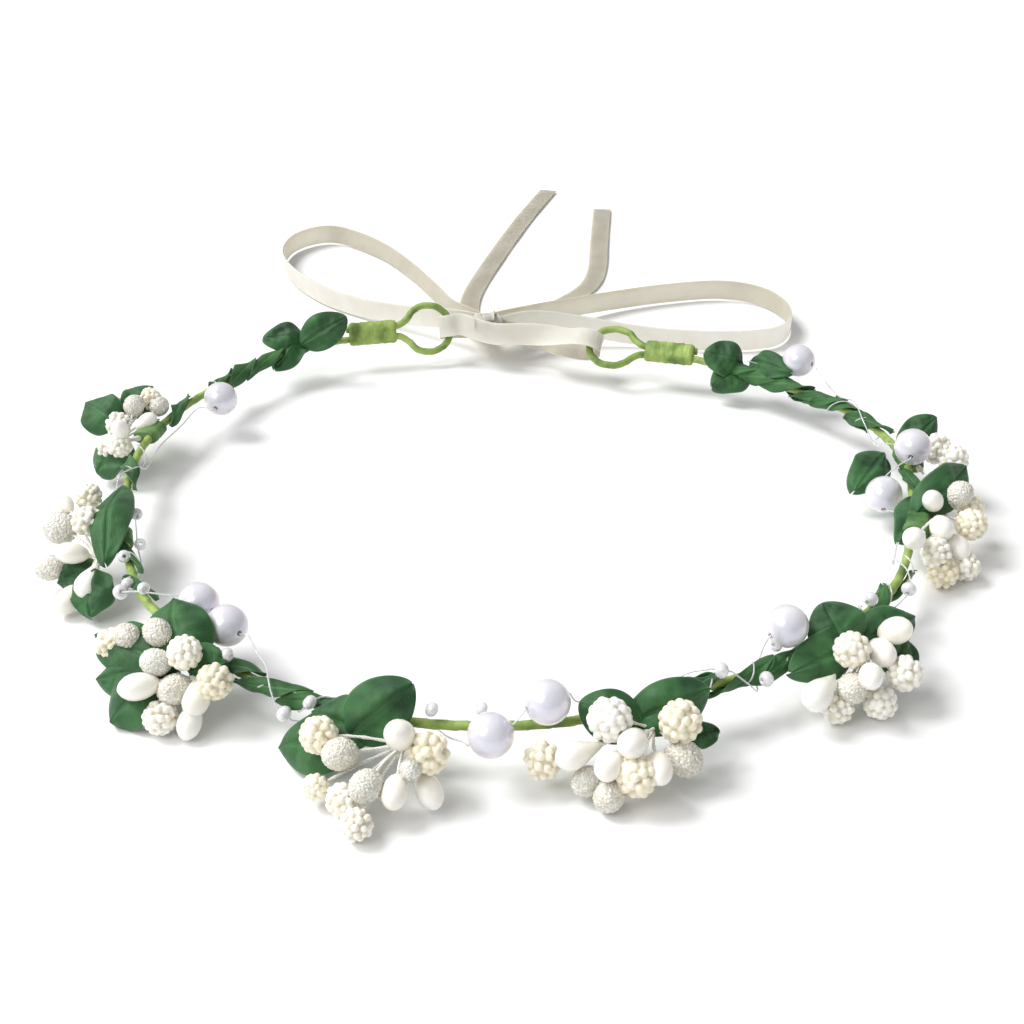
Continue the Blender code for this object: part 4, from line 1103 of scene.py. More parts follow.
def add_blade(shape, start, end, first_angle, half_width_mm):
    """A narrow leaf wound round the stem between two bearings."""
    length_mm = math.radians(end - start) * HOOP_RADIUS / MM
    frames = hoop_frames(start, end, length_mm / BLADE_ROWS)
    slope = math.atan2(TWIST_PITCH_MM, math.tau * BLADE_LIES_AT_MM)
    corners = []
    wound = []
    tone = []
    rows = len(frames)
    for layer in (1, -1):
        for i, (point, side, up) in enumerate(frames):
            share = i / (rows - 1)
            ahead = side.cross(up).normalized()
            breadth = half_width_mm * (math.sin(math.pi * share) ** 0.6 * 0.94 + 0.06)
            base = math.radians(first_angle) + math.tau * length_mm * share / TWIST_PITCH_MM
            lifted = 1.0 - math.sin(math.pi * share) ** 0.3
            for k in range(BLADE_COLUMNS):
                across = 2 * k / (BLADE_COLUMNS - 1) - 1
                ripple = noise.noise(Vector((share * 5, across * 1.5, first_angle))) * 0.5
                curled = abs(across) ** 2.2 * (0.6 + 0.4 * math.sin(share * 9 + first_angle))
                lift = 0.35 + 0.9 * curled + ripple * 0.6 + lifted * 0.15
                rib = 0.2 * math.exp(-(across / BLADE_RIB_WIDTH) ** 2)
                turn = base + across * breadth * math.sin(slope) / (BLADE_LIES_AT_MM + 0.9)
                shift = -across * breadth * math.cos(slope) * MM
                reach = (BLADE_LIES_AT_MM + max(0.0, lift - rib) + BLADE_HALF_THICKNESS_MM * layer) * MM
                corners.append(around(point + ahead * shift, side, up, turn, reach))
                wound.append((share * length_mm, across * breadth))
                # Painted highlight: the tone's height of 0.9 on the middle column lightens the blade along
                # its midrib.
                tone.append((abs(across), 0.9 if k == BLADE_COLUMNS // 2 else 0.5))
    front, back, rim = sheet_faces(rows, BLADE_COLUMNS)
    shape.add(corners, front + back + rim, wound, tone)


for name, blades in [*TWISTS.items(), ("leafy_wrap_between_sprays", LOOSE_TWISTS)]:
    twist = Shape()
    for blade in blades:
        add_blade(twist, *blade)
    finished("blades_" + name.removeprefix("leafy_wrap_"), twist, [LEAFY_TAPE],
             [name] if name in TWISTS else [])
print("wound blades:", sum(len(b) for b in TWISTS.values()) + len(LOOSE_TWISTS))

# %% [markdown]
# ## The berry sprays
#
# A spray is ten or so stamens: thread stalks, each with a head. There are four kinds of head. A mulberry
# is a bunch of drops, a sugared head is a ball rolled in glass beads, a bud is a smooth egg, and a
# teardrop narrows to its stalk. Modelling each drop as its own ball would leave hundreds of hidden
# surfaces, so a head is one skin instead. From its middle, the skin reaches out as far as the furthest
# drop in each direction, which leaves a sharp crease between drops.

# %% Heads made of drops


def ball(subdivisions):
    """A round ball's directions and faces."""
    made = bmesh.new()
    bmesh.ops.create_icosphere(made, subdivisions=subdivisions, radius=1.0)
    made.verts.index_update()
    directions = np.array([list(v.co.normalized()) for v in made.verts])
    faces = [tuple(v.index for v in face.verts) for face in made.faces]
    made.free()
    return directions, faces


BALL_DIRECTIONS, BALL_FACES = ball(5)


def drops_head(count, drop_radius, seat, core, seed, loose):
    """A skin over many drops: its corners at unit size, and each corner's height between drops."""
    chance = np.random.default_rng(seed)
    k = np.arange(count) + 0.5
    rise = 1 - 2 * k / count
    turn = np.pi * (1 + 5 ** 0.5) * k
    level = np.sqrt(1 - rise ** 2)
    middles = np.stack([level * np.cos(turn), level * np.sin(turn), rise], axis=1)
    middles += chance.normal(0.0, loose, middles.shape)
    middles /= np.linalg.norm(middles, axis=1, keepdims=True)
    seats = seat * (1 + chance.normal(0.0, loose * 0.35, count))
    sizes = drop_radius * (1 + chance.normal(0.0, loose * 0.9, count))
    facing = BALL_DIRECTIONS @ middles.T * seats
    inside = sizes ** 2 - (seats ** 2 - facing ** 2)
    reach = np.where((inside > 0) & (facing > 0), facing + np.sqrt(np.maximum(inside, 0)), 0.0)
    reach = np.maximum(reach.max(axis=1), core)
    height = (reach - core) / (reach.max() - core)
    return BALL_DIRECTIONS * reach[:, None], height


MULBERRIES = [drops_head(count, 0.235, 0.79, 0.77, seed, 0.07)
              for seed, count in ((11, 46), (12, 52), (13, 40), (14, 58))]
SUGARED = [drops_head(count, 0.085, 0.93, 0.945, seed, 0.03) for seed, count in ((21, 300), (22, 330))]
print("corners on one head:", len(BALL_DIRECTIONS))

# %% [markdown]
# Buds and teardrops are turned shapes, drawn by a few listed stops from stalk to tip. Real buds are
# dipped by hand and never quite round, so each is squeezed a little in its own way.

# %% Smooth heads
BUD_STOPS = [(-1.0, 0.10), (-0.93, 0.34), (-0.70, 0.66), (-0.30, 0.92), (0.10, 1.0), (0.50, 0.90),
             (0.80, 0.60), (0.95, 0.30), (1.0, 0.06)]
TEARDROP_STOPS = [(-1.0, 0.10), (-0.80, 0.28), (-0.45, 0.52), (-0.05, 0.84), (0.35, 1.0), (0.68, 0.86),
                  (0.90, 0.50), (1.0, 0.08)]
SMOOTH_STEPS = 16
SMOOTH_SIDES = 20


def smooth_head(stops, radius, reach):
    """A turned head's profile in metres, from its stalk to its tip, and the share along it."""
    spots = [s[0] for s in stops]
    widths = [s[1] for s in stops]
    profile = []
    tones = []
    for k in range(SMOOTH_STEPS + 1):
        spot = -math.cos(math.pi * k / SMOOTH_STEPS)
        profile.append((spot * reach, float(np.interp(spot, spots, widths)) * radius))
        tones.append(k / SMOOTH_STEPS)
    return profile, tones


def add_head(shapes, kind, middle, way, size, chance):
    """One berry head on its own finish's shape."""
    shade = chance.random()
    width, length = BERRY_SHAPES[kind]
    radius = BERRY_RADIUS * size * width * PLUMP[kind]
    reach = BERRY_RADIUS * size * length * PLUMP[kind]
    if kind in ("bud", "teardrop"):
        stops = BUD_STOPS if kind == "bud" else TEARDROP_STOPS
        profile, shares = smooth_head(stops, radius, reach)
        squeeze = chance.uniform(0.0, 0.08)
        start = len(shapes["bud"].corners)
        add_turned(shapes["bud"], middle, way, profile, SMOOTH_SIDES, [(shade, s) for s in shares])
        flat = way.orthogonal().normalized()
        for i in range(start, len(shapes["bud"].corners)):
            away = shapes["bud"].corners[i] - middle
            shapes["bud"].corners[i] = middle + away - flat * (away.dot(flat) * squeeze)
        return
    corners, height = chance.choice(MULBERRIES if kind == "mulberry" else SUGARED)
    spin = chance.uniform(0, math.tau)
    first = way.orthogonal().normalized()
    second = way.cross(first)
    a = first * math.cos(spin) + second * math.sin(spin)
    b = way.cross(a)
    turned = (corners[:, :1] * np.array(a) * radius + corners[:, 1:2] * np.array(b) * radius
              + corners[:, 2:] * np.array(way) * reach)
    placed = turned + np.array(middle)
    tone = [(shade, float(h)) for h in height]
    shapes[kind].add([Vector(p) for p in placed], BALL_FACES, None, tone)


# %% [markdown]
# The sprays themselves: where each head stands, in millimetres along the hoop, out of it and up,
# and its size. The stalks leave one bound neck and bend out to their heads, and a few cut ends show at the
# other side of the binding. A head that would dip into the table is lifted until it just rests on it, as
# its springy stalk lets it.

# %% Where the berries stand
BERRY_RADIUS = 3.1 * MM
BERRY_SHAPES = {"mulberry": (1.0, 1.0), "sugared": (0.92, 1.05), "bud": (0.78, 1.15), "teardrop": (0.8, 1.4)}
PLUMP = {"mulberry": 1.16, "sugared": 1.06, "bud": 1.05, "teardrop": 1.02}
STALK_RADIUS = 0.3 * MM
STALK_SIDES = 7
STALK_STEP = 1.0 * MM
CUT_ENDS = 6
CUT_END_STEP = 1.2 * MM
BUNDLE_RADIUS = 0.45 * MM
ABOVE_TABLE = 0.25 * MM
NECK_TURNS = 5
NECK_STEPS = 60
NECK_THREAD_RADIUS = 0.2 * MM
NECK_THREAD_SIDES = 6
SPRAYS = {
    "spray_1_left_back": (-106, [
        ("mulberry", -11, 11, 4, 0.85), ("sugared", -5, 13, 4, 0.85), ("bud", -1, 16, 0, 0.9),
        ("mulberry", 2, 8, 3, 0.9), ("sugared", -3, 6, 6, 0.85), ("mulberry", -9, 5, 5, 0.85),
        ("bud", 8, 4, 5, 0.9), ("bud", 3, 11, -6, 0.95), ("mulberry", 8, 8, 0, 0.85),
        ("sugared", -8, 2, 4, 0.8), ("bud", -1, 2, 3, 0.85), ("mulberry", 8.5, 4.5, 1, 0.85)]),
    "spray_2_left": (-74, [
        ("sugared", -5, 10, 2, 1.2), ("sugared", 3, 13, -3, 0.95), ("bud", 5, 8, 1, 1.0),
        ("teardrop", 12, 5, -2, 1.1), ("mulberry", -10, 3, 6, 0.85), ("mulberry", -1, 4, 5, 0.95),
        ("bud", 13, 10, -6, 1.0), ("bud", -8, 8, 6, 0.7)]),
    "spray_3_left_front": (-41, [
        ("mulberry", -14, 11, 2, 0.85), ("sugared", -11, 9, 4, 0.85), ("sugared", -5, 6, 6, 0.9),
        ("sugared", -1, 10, 3, 0.9), ("mulberry", 3, 6, 5, 0.95), ("bud", -0.7, 14.6, 0, 1.1),
        ("sugared", 4, 10, -1, 1.0), ("mulberry", 4, 14, -6, 0.95), ("bud", 9, 11, -6, 0.95),
        ("bud", 8, 8, -2, 1.1), ("mulberry", 10, 5, 1, 1.0)]),
    "spray_4_front_left": (-14, [
        ("mulberry", -9, 11, 2, 1.0), ("sugared", -4, 14, 1, 1.0), ("bud", 6, 10, 4, 1.15),
        ("mulberry", 11, 10, 1, 1.1), ("bud", 12, 13, -5, 1.0), ("bud", 7, 17, -3, 1.0),
        ("sugared", 2, 18, -2, 1.0), ("mulberry", -8, 17, -5, 0.7), ("mulberry", -2, 19, -5, 0.9),
        ("mulberry", 2, 24, -6, 0.85), ("sugared", 9, 14, 0, 0.65)]),
    "spray_5_front_right": (13, [
        ("mulberry", -15, 6, -3, 1.0), ("teardrop", -9, 9, 0, 1.1), ("mulberry", -3, 7, 5, 1.15),
        ("bud", 0, 12, 3, 1.1), ("teardrop", -4, 13, 0, 1.0), ("mulberry", 10, 8, 3, 1.15),
        ("sugared", 10, 11, -3, 1.1), ("sugared", -8, 11, -5, 0.9), ("sugared", -5, 15, -6, 0.95),
        ("mulberry", 0, 15, -2, 1.1), ("bud", 4, 15, -1, 1.0)]),
    "spray_6_right_front": (45, [
        ("mulberry", -4, 8, 4, 1.0), ("bud", 6, 11, 5, 1.1), ("bud", 2, 11, 2, 1.1),
        ("bud", -6, 14, 2, 0.95), ("teardrop", -13, 8, -1, 1.2), ("sugared", -7, 11, -2, 1.0),
        ("mulberry", -10, 10, -6, 0.9), ("mulberry", -3, 15, -6, 0.95), ("mulberry", 3, 16, -1, 1.0)]),
    "spray_7_right": (79, [
        ("bud", 2, 6, 5, 0.95), ("sugared", 8, 12, 4, 1.0), ("bud", -4, 8, 2, 1.1),
        ("mulberry", 2, 15, 0, 1.0), ("bud", -5, 12, -2, 1.0), ("teardrop", -12.5, 2.0, 4.0, 1.0),
        ("mulberry", -10, 7, -1, 0.95), ("mulberry", -11, 9, -6, 0.95), ("mulberry", -7, 14, -6, 0.9),
        ("mulberry", 9.5, 15, 0, 0.9)]),
    "spray_8_right_back": (96.5, [
        ("mulberry", 1, 13, 3, 1.05), ("mulberry", -3, 16, 2, 1.0)]),
}


def stalk_line(neck, middle, out, chance):
    """A stalk's bent line from the neck to its head."""
    away = middle - neck
    bow = Vector((chance.uniform(-1, 1), chance.uniform(-1, 1), chance.uniform(-0.2, 1))) * 0.6 * MM
    return [Vector(p) for p in smooth_points([neck - out * 1.5 * MM, neck + out * 0.8 * MM + bow * 0.3,
                                              neck + away * 0.5 + bow, middle], STALK_STEP)]


def stalk_surface(run, turn):
    """A thread stalk's radius, uneven with starch."""
    return STALK_RADIUS * (1 + 0.18 * math.sin(run / (0.5 * MM)))


def neck_winding(neck, out, along):
    """The thread wound tight round the stalks where they leave the binding."""
    points = []
    for k in range(NECK_STEPS + 1):
        share = k / NECK_STEPS
        turn = math.tau * NECK_TURNS * share
        points.append(around(neck + out * ((1.9 * share - 0.4) * MM), along, Vector((0, 0, 1)), turn,
                             (1.15 - 0.25 * share) * MM))
    return points


NEARLY_UP = Vector((0, 0.1, 1))
HEAD_PIECES = {"mulberry": ("mulberries", IVORY_DROPS), "sugared": ("sugared_heads", SUGAR_COAT),
               "bud": ("buds", PEARLY_PAINT)}
for number, (spray, (bearing, heads)) in enumerate(SPRAYS.items(), start=1):
    chance = random.Random(100 + number)
    out, along = direction(bearing)
    rod_middle = hoop_point(bearing) + out * ROD_FROM_STEM
    half = SPRAY_WRAP_LENGTH / 2
    neck = rod_middle + out * (3 * MM) + along * (half + 2.5 * MM)
    shapes = {kind: Shape() for kind in HEAD_PIECES}
    stalks = Shape()
    for kind, along_mm, out_mm, up_mm, size in heads:
        middle = place(bearing, along_mm, out_mm, up_mm)
        middle.z = max(middle.z, BERRY_RADIUS * size * PLUMP[kind] + ABOVE_TABLE)
        way = (middle - neck).normalized()
        add_head(shapes, kind, middle, way, size, chance)
        line = stalk_line(neck, middle, out, chance)
        add_tube(stalks, carried_frames(line, NEARLY_UP), stalk_surface, STALK_SIDES)
    for k in range(CUT_ENDS):
        sway = Vector((chance.uniform(-1, 1), chance.uniform(-1, 1), chance.uniform(-0.6, 1))) * 0.5 * MM
        offset = along.cross(out) * (BUNDLE_RADIUS * math.sin(k)) + out * (BUNDLE_RADIUS * math.cos(k))
        tip = rod_middle - along * (half + chance.uniform(1.0, 3.0) * MM) + offset * 2.0 + sway
        line = [tip, rod_middle - along * half + offset, rod_middle + along * half + offset, neck]
        line = [Vector(p) for p in smooth_points(line, CUT_END_STEP)]
        add_tube(stalks, carried_frames(line, NEARLY_UP), stalk_surface, STALK_SIDES)
    winding = carried_frames(neck_winding(neck, out, along), out)
    add_tube(stalks, winding, lambda run, turn: NECK_THREAD_RADIUS, NECK_THREAD_SIDES)
    finished(f"stalks_{number}", stalks, [STARCHED_THREAD], [spray])
    for kind, (title, finish) in HEAD_PIECES.items():
        if shapes[kind].corners:
            finished(f"{title}_{number}", shapes[kind], [finish], [spray])
    binding = Shape()
    reach = math.degrees(half / HOOP_RADIUS)
    frames = [(point + side * (ROD_FROM_STEM / 2), side, up)
              for point, side, up in hoop_frames(bearing - reach, bearing + reach, 0.45)]
    add_binding(binding, frames, ROD_FROM_STEM / 2, STEM_RADIUS + BINDING_WALL, BINDING_PITCH, number)
    finished(f"spray_binding_{number}", binding, [MOSS_TAPE],
             [spray.replace("spray", "wrap")])
    print(spray, "heads:", len(heads))

# %% [markdown]
# ## The leaves
#
# A cloth leaf is pressed in a die, so it has a midrib, side veins that sweep towards the tip, and puffed
# cloth between them. It leaves the die flat, and the maker's fingers curl it. The blade is a fine grid,
# closer at both ends, where its outline turns. The veins are grooves in the grid, and the curl and the wavy
# edge are added last. A flat outline with a bump could not give the folds that catch the light.

# %% One pressed leaf
LEAF_ROWS = 36
LEAF_COLUMNS = 21
LEAF_HALF_THICKNESS = 0.13 * MM
SIDE_VEINS = 6.0
VEIN_WIDTH = 0.11
BESIDE_VEIN_WIDTH = 0.25
MIDRIB_WIDTH = 0.055


def leaf_breadth(share):
    """A leaf's breadth at a share of its length: broad soon after the stalk, and a blunt round tip."""
    return max(0.04, math.sin(math.pi * share ** 0.92) ** 0.58)


def leaf_surface(share, across, seed):
    """The cloth's height in millimetres, and its ridge value for the painted shade along the veins and the
    painted highlight on the midrib, at a place on the blade.
    """
    side = abs(across)
    vein_spot = share * SIDE_VEINS - side * 1.25 * (1 - share * 0.5)
    to_vein = abs((vein_spot + 0.5) % 1.0 - 0.5)
    fade = min(1.0, side * 5.0) * (1 - side ** 4)
    vein = math.exp(-(to_vein / VEIN_WIDTH) ** 2) * fade
    midrib = math.exp(-(side / MIDRIB_WIDTH) ** 2) * (1 - share * 0.6)
    puff = (1 - vein) * 0.5 * fade * math.sin(math.pi * share) ** 0.5
    crumple = noise.noise(Vector((share * 3.2, across * 1.6, seed))) * 1.7 * math.sin(math.pi * share) ** 0.4
    edge_wave = side ** 3 * math.sin(share * 9.0 + seed * 2.0 + across) * 0.9
    height = puff - midrib * 0.8 + crumple + edge_wave
    # The ridge paints light and shade: it is low beside the veins, where the cloth is darkened, and high on
    # the midrib, where it is lightened.
    beside_vein = 0.3 * math.exp(-(to_vein / BESIDE_VEIN_WIDTH) ** 2) * fade
    ridge = 0.5 + 0.5 * max(midrib * 0.9, vein * 0.35) - beside_vein
    return height, max(0.0, min(1.0, ridge))


def add_leaf(shape, bearing, root, tip, width_mm, facing, seed, arch=0.13, cup=0.14, twist_degrees=0.0):
    """A pressed leaf from root to tip, arched along and cupped across, with veins and a wavy edge."""
    out, along = direction(bearing)
    start = place(bearing, *root)
    run = place(bearing, *tip) - start
    face = along * facing[0] + out * facing[1] + Vector((0, 0, facing[2]))
    face = (face - run * (face.dot(run) / run.length_squared)).normalized()
    side = run.normalized().cross(face)
    corners = []
    wound = []
    tone = []
    for layer in (1, -1):
        for i in range(LEAF_ROWS):
            share = 0.5 - 0.5 * math.cos(math.pi * i / (LEAF_ROWS - 1))
            breadth = leaf_breadth(share) * width_mm * MM / 2
            turn = math.radians(twist_degrees) * share
            widthways = side * math.cos(turn) + face * math.sin(turn)
            upways = face * math.cos(turn) - side * math.sin(turn)
            for k in range(LEAF_COLUMNS):
                across = 2 * k / (LEAF_COLUMNS - 1) - 1
                height, ridge = leaf_surface(share, across, seed)
                rise = math.sin(math.pi * share) * arch * run.length + height * 0.8 * MM
                fold = -abs(across) ** 1.5 * cup * width_mm * MM
                point = start + run * share + widthways * (across * breadth)
                point += upways * (rise + fold + layer * LEAF_HALF_THICKNESS)
                point.z = max(point.z, ABOVE_TABLE + (layer + 1) * LEAF_HALF_THICKNESS)
                corners.append(point)
                wound.append((share * run.length / MM, across * breadth / MM))
                tone.append((abs(across), ridge))
    front, back, rim = sheet_faces(LEAF_ROWS, LEAF_COLUMNS)
    shape.add(corners, front + back + rim, wound, tone)


# %% [markdown]
# The leaves stand in whorls behind the berries, two or three to a spray. Each is placed by its root, its
# tip, its width and the way it faces, and its seed gives it creases of its own. Ten small leaves, which the
# plain model leaves out, fill the gaps between them.

# %% Every leaf in its place
LEAVES = {
    "leaf_1_behind": (-106, (2, 8, 3), (-3, 19.5, 5), 11, (0.7, -0.3, 0.6)),
    "leaf_1_low": (-106, (5, 4.5, 1), (13, 9, -5), 12, (0.6, 0.1, 0.8)),
    "leaf_2_inner": (-74, (12, 1.5, 2), (-13, -5, 6), 9, (0.8, 0.3, 0.6)),
    "leaf_2_low": (-74, (11, 3.5, 0), (20, 6, -6), 10, (0.6, 0.4, 0.7)),
    "leaf_3_top": (-41, (1.5, 6, 1), (-8.5, -1, 9), 14, (0.5, 0.7, 0.6)),
    "leaf_3_side": (-41, (0.5, 7.5, 1), (-20, 10.5, 1), 11, (0.5, 0.5, 0.8)),
    "leaf_3_low": (-41, (0, 7.5, 0), (-4, 20, -7), 13, (0.4, 0.4, 0.9)),
    "leaf_4_low": (-14, (-4, 7, -1), (-18.5, 8, -5), 12, (0.3, 0.6, 0.8)),
    "leaf_4_top": (-14, (-5, 8, 0), (5.5, 0.5, 8.5), 12, (0.2, 0.8, 0.5)),
    "leaf_5_top": (13, (3.5, 6, 1), (-7, 1, 5), 10, (-0.2, 0.7, 0.6)),
    "leaf_5_right": (13, (1, 4, 1), (18, 1.5, 4.5), 10, (-0.1, 0.7, 0.6)),
    "leaf_6_top": (45, (-1.5, 6.5, 1), (-1, -1.5, 9), 12, (-0.6, 0.7, 0.5)),
    "leaf_6_right": (45, (0, 5, 1), (16, 9.5, 3), 10, (-0.5, 0.5, 0.7)),
    "leaf_7_behind": (79, (2, 3, 2), (18.5, 14, 6), 10, (-0.8, 0.3, 0.5)),
    "leaf_7_inner": (79, (11, 5.5, 0), (-5, -0.5, -2), 10, (-0.8, 0.1, 0.6)),
    "leaf_8_top": (96.5, (4, 5, 2), (5.5, 14, 9), 8, (-0.9, 0.0, 0.5)),
    "leaf_8_inner": (96.5, (4, 1.5, 1), (-8, -9, -2), 10, (-0.7, 0.0, 0.7)),
    "leaf_9_side": (-145, (-0.5, 5, 2), (11, 9.5, 4), 9, (0.5, -0.5, 0.7)),
    "leaf_9_top": (-145, (3, 3.5, 2), (-9, -1.5, 9), 10, (0.4, -0.8, 0.5)),
    "leaf_10_inner": (137, (-2.5, 0, 1), (5, -7.5, 5), 10, (-0.5, -0.6, 0.6)),
    "leaf_10_outer": (137, (-2.5, 2.5, 1), (-17.5, -1, 4), 8, (-0.4, -0.7, 0.6)),
}
SMALL_LEAVES = [
    (-106, (-3, 8.5, 3), (-12.5, 5.5, 7), 9, (0.7, -0.3, 0.6)),
    (-74, (6.5, 3, -2), (5, 12, -6), 8, (0.6, 0.3, 0.7)),
    (-41, (3, 6, 1), (9, 1, 3), 9, (0.6, 0.5, 0.6)),
    (-41, (1, 7, 0), (-13, 16, -3.5), 10, (0.45, 0.45, 0.85)),
    (-14, (-0.5, 7, 0), (-13, 4, 1.5), 11, (0.2, 0.7, 0.7)),
    (13, (12.5, 5.5, -3), (19, 5, -3), 5, (-0.2, 0.6, 0.7)),
    (45, (3.5, 4.5, 1), (-14.5, 2, 1), 10, (-0.5, 0.7, 0.6)),
    (45, (5.5, 8.5, 0), (10.5, 15, -4), 8, (-0.5, 0.4, 0.7)),
    (-145, (-0.5, 7.5, 1), (12, 2, -2), 9, (0.6, -0.4, 0.7)),
    (137, (-3.5, 1.5, 0), (1.5, -8.5, -3.5), 10, (-0.4, -0.4, 0.8)),
]
for number, (name, pressed) in enumerate(LEAVES.items()):
    blade = Shape()
    add_leaf(blade, *pressed, 3.7 * number + 1.3)
    finished("cloth_" + name, blade, [LEAF_CLOTH], [name])
for number, pressed in enumerate(SMALL_LEAVES):
    blade = Shape()
    add_leaf(blade, *pressed, 5.1 * number + 2.6)
    finished(f"cloth_small_leaf_{number + 1}", blade, [LEAF_CLOTH])
print("leaves:", len(LEAVES) + len(SMALL_LEAVES), " corners on each:", 2 * LEAF_ROWS * LEAF_COLUMNS)

# %% [markdown]
# ## The clear thread and its beads
#
# A nylon thread twines round the stem and passes through every bead. At a bead it runs straight
# through the hole, and between beads it wraps the stem or arcs across from one bead to the next. The pearls
# can spin on it, so each pearl rides on its own body.

# %% The thread's way from bead to bead
PEARL_RADIUS = 4.25 * MM
SEED_RADIUS = 1.6 * MM
PEARL_BORE_RADIUS = 0.45 * MM
SEED_BORE_RADIUS = 0.35 * MM
THREAD_RADIUS = 0.17 * MM
THREAD_STEP = 0.9 * MM
THREAD_ROUTE = [
    (-124, 0, 2.2, ""), (-121, -6, 0.5, "pearl_1_left_back"), (-117, -3.0, -0.5, ""),
    (-112, -2.5, -2.0, ""), (-104, -2.5, -2.0, ""), (-97, -2.5, -2.0, ""), (-93, -1.8, 1.8, ""),
    (-90, 1.8, 1.8, ""), (-87, 1.8, -1.8, ""), (-84, -1.8, -1.8, ""), (-80, -2.5, -2.0, ""),
    (-74, -2.5, -2.2, ""), (-68, -2.5, -2.2, ""), (-64, -1.0, -2.8, ""), (-61.5, 2.2, -1.8, ""),
    (-58.5, 3.9, 1.0, "seed_1_left"), (-55, 1.5, 3.2, ""), (-51.5, -3.8, 3.0, ""),
    (-48, -6.2, 3.0, "pearl_2_left_front"), (-41, -5.6, 3.2, "pearl_3_left_front"),
    (-36.5, -5.5, 4.0, ""), (-34, -4.0, 2.5, ""), (-31, -1.5, 3.2, ""), (-28.5, 2.4, 2.4, ""),
    (-26, 4.0, -1.0, "seed_2_left_front"), (-23.5, 1.5, -3.0, ""), (-21, -2.5, -2.2, ""),
    (-14, -2.6, -2.4, ""), (-9, -2.4, -2.2, ""), (-6.5, 0, -2.8, ""), (-4.5, 3.5, -1.0, ""),
    (-1.4, 5.7, 2.4, "pearl_4_front"), (4.9, 2.0, 6.4, "pearl_5_front"), (8.5, -1.0, 3.6, ""),
    (10.5, -3.0, 0.8, ""), (13, -2.8, -2.2, ""), (19, -2.5, -2.2, ""), (23, -2.0, 2.2, ""),
    (27, 1.5, 4.0, "seed_3_right_front"), (30, 3.4, 1.0, ""), (32, 2.6, -2.2, ""), (34, -2.2, -2.4, ""),
    (35.5, -3.2, 2.0, ""), (38.7, -2.2, 6.6, "pearl_6_right_front"), (42.3, -3.2, 3.8, ""),
    (44.5, -3.4, -0.5, ""), (48, -2.6, -2.2, ""), (53, -1.0, -2.8, ""), (57, 2.4, -1.2, ""),
    (60.5, 3.6, 1.4, "seed_4_right"), (64, 1.2, 2.8, ""), (67, -2.2, 1.6, ""), (70, -2.6, -2.2, ""),
    (79, -2.6, -2.4, ""), (84, -3.6, -2.2, ""), (88, -6.2, -1.2, "pearl_7_right"),
    (91, -4.0, 3.0, ""), (93, 0.2, 6.6, "pearl_8_right"), (96.5, -1.4, 4.2, ""), (100, -3.0, 1.5, ""),
    (104, -2.0, -2.2, ""), (107, -2.4, 1.4, ""), (112, 0, 3.4, ""), (117, 3.0, 1.2, ""),
    (121, 4.2, 3.4, ""), (127, 6.0, 5.4, "pearl_9_right_back"), (132, 3.6, 2.4, ""), (134.5, 1.2, 3.0, "")]


def bead_radius(name):
    """Pearls are large and seed beads are small."""
    return PEARL_RADIUS if name.startswith("pearl") else SEED_RADIUS


def bead_axis(index):
    """The middle of the bead at one stop of the thread, and the way the thread runs through it."""
    before, here, after = [near_hoop(*stop[:3]) for stop in THREAD_ROUTE[index - 1:index + 2]]
    return here, (after - before).normalized()


def thread_line(step):
    """The thread as one line: smooth between beads and straight through each of them."""
    points = []
    run = []
    for index, (bearing, out_mm, up_mm, bead) in enumerate(THREAD_ROUTE):
        if not bead:
            run.append(near_hoop(bearing, out_mm, up_mm))
            continue
        middle, axis = bead_axis(index)
        reach = axis * (bead_radius(bead) + 0.4 * MM)
        run.append(middle - reach)
        points += [Vector(p) for p in smooth_points(run, step)]
        run = [middle + reach]
    points += [Vector(p) for p in smooth_points(run, step)]
    return points


# %% The thread, and a second winding
WINDINGS = [(-99, -81, 3), (-68, -60.5, 1), (-35, -21, 2), (20, 26, 1), (29.5, 37.5, 1.5), (52, 68, 2),
            (104, 122, 3)]
THREAD_SIDES = 8
POINTS_A_TURN = 22


def thread_radius(run, turn):
    """Nylon drawn to one thickness."""
    return THREAD_RADIUS


thread = Shape()
strung = thread_line(THREAD_STEP)
add_tube(thread, carried_frames(strung, Vector((0, 0, 1))), thread_radius, THREAD_SIDES)
for start, end, turns in WINDINGS:
    count = round(turns * POINTS_A_TURN)
    line = []
    for k in range(count + 1):
        share = k / count
        turn = math.tau * turns * share + start
        hugging = STEM_RADIUS / MM + 0.35 + 0.75 * (0.5 + 0.5 * math.sin(share * 7 + start))
        bearing = start + (end - start) * share
        line.append(near_hoop(bearing, math.cos(turn) * hugging, math.sin(turn) * hugging))
    add_tube(thread, carried_frames(line, NEARLY_UP), thread_radius, THREAD_SIDES)
finished("clear_thread", thread, [CLEAR_NYLON], ["bead_thread"])
print("nylon, mm:", round(line_length(strung) / MM))

# %% [markdown]
# A bead is a ball with a hole through it, and the hole's mouth is slightly dished where the lacquer
# pools. It is turned from one outline that goes over the ball and back through the hole, so the
# hole is a real one. Seed beads are a little shorter along the hole than across it.

# %% Pearls and seed beads


def bead_outline(radius, steps, stretch, bore):
    """Over the ball, into the dished mouth and back through the bore: (along, radius) pairs."""
    mouth = math.asin(bore * 1.35 / radius)
    over = [(-radius * math.cos(t) * stretch, radius * math.sin(t))
            for t in np.linspace(mouth, math.pi - mouth, steps)]
    inner = radius * math.cos(mouth) * stretch
    back = [(inner - 0.25 * MM, bore), (-inner + 0.25 * MM, bore)]
    return over + back


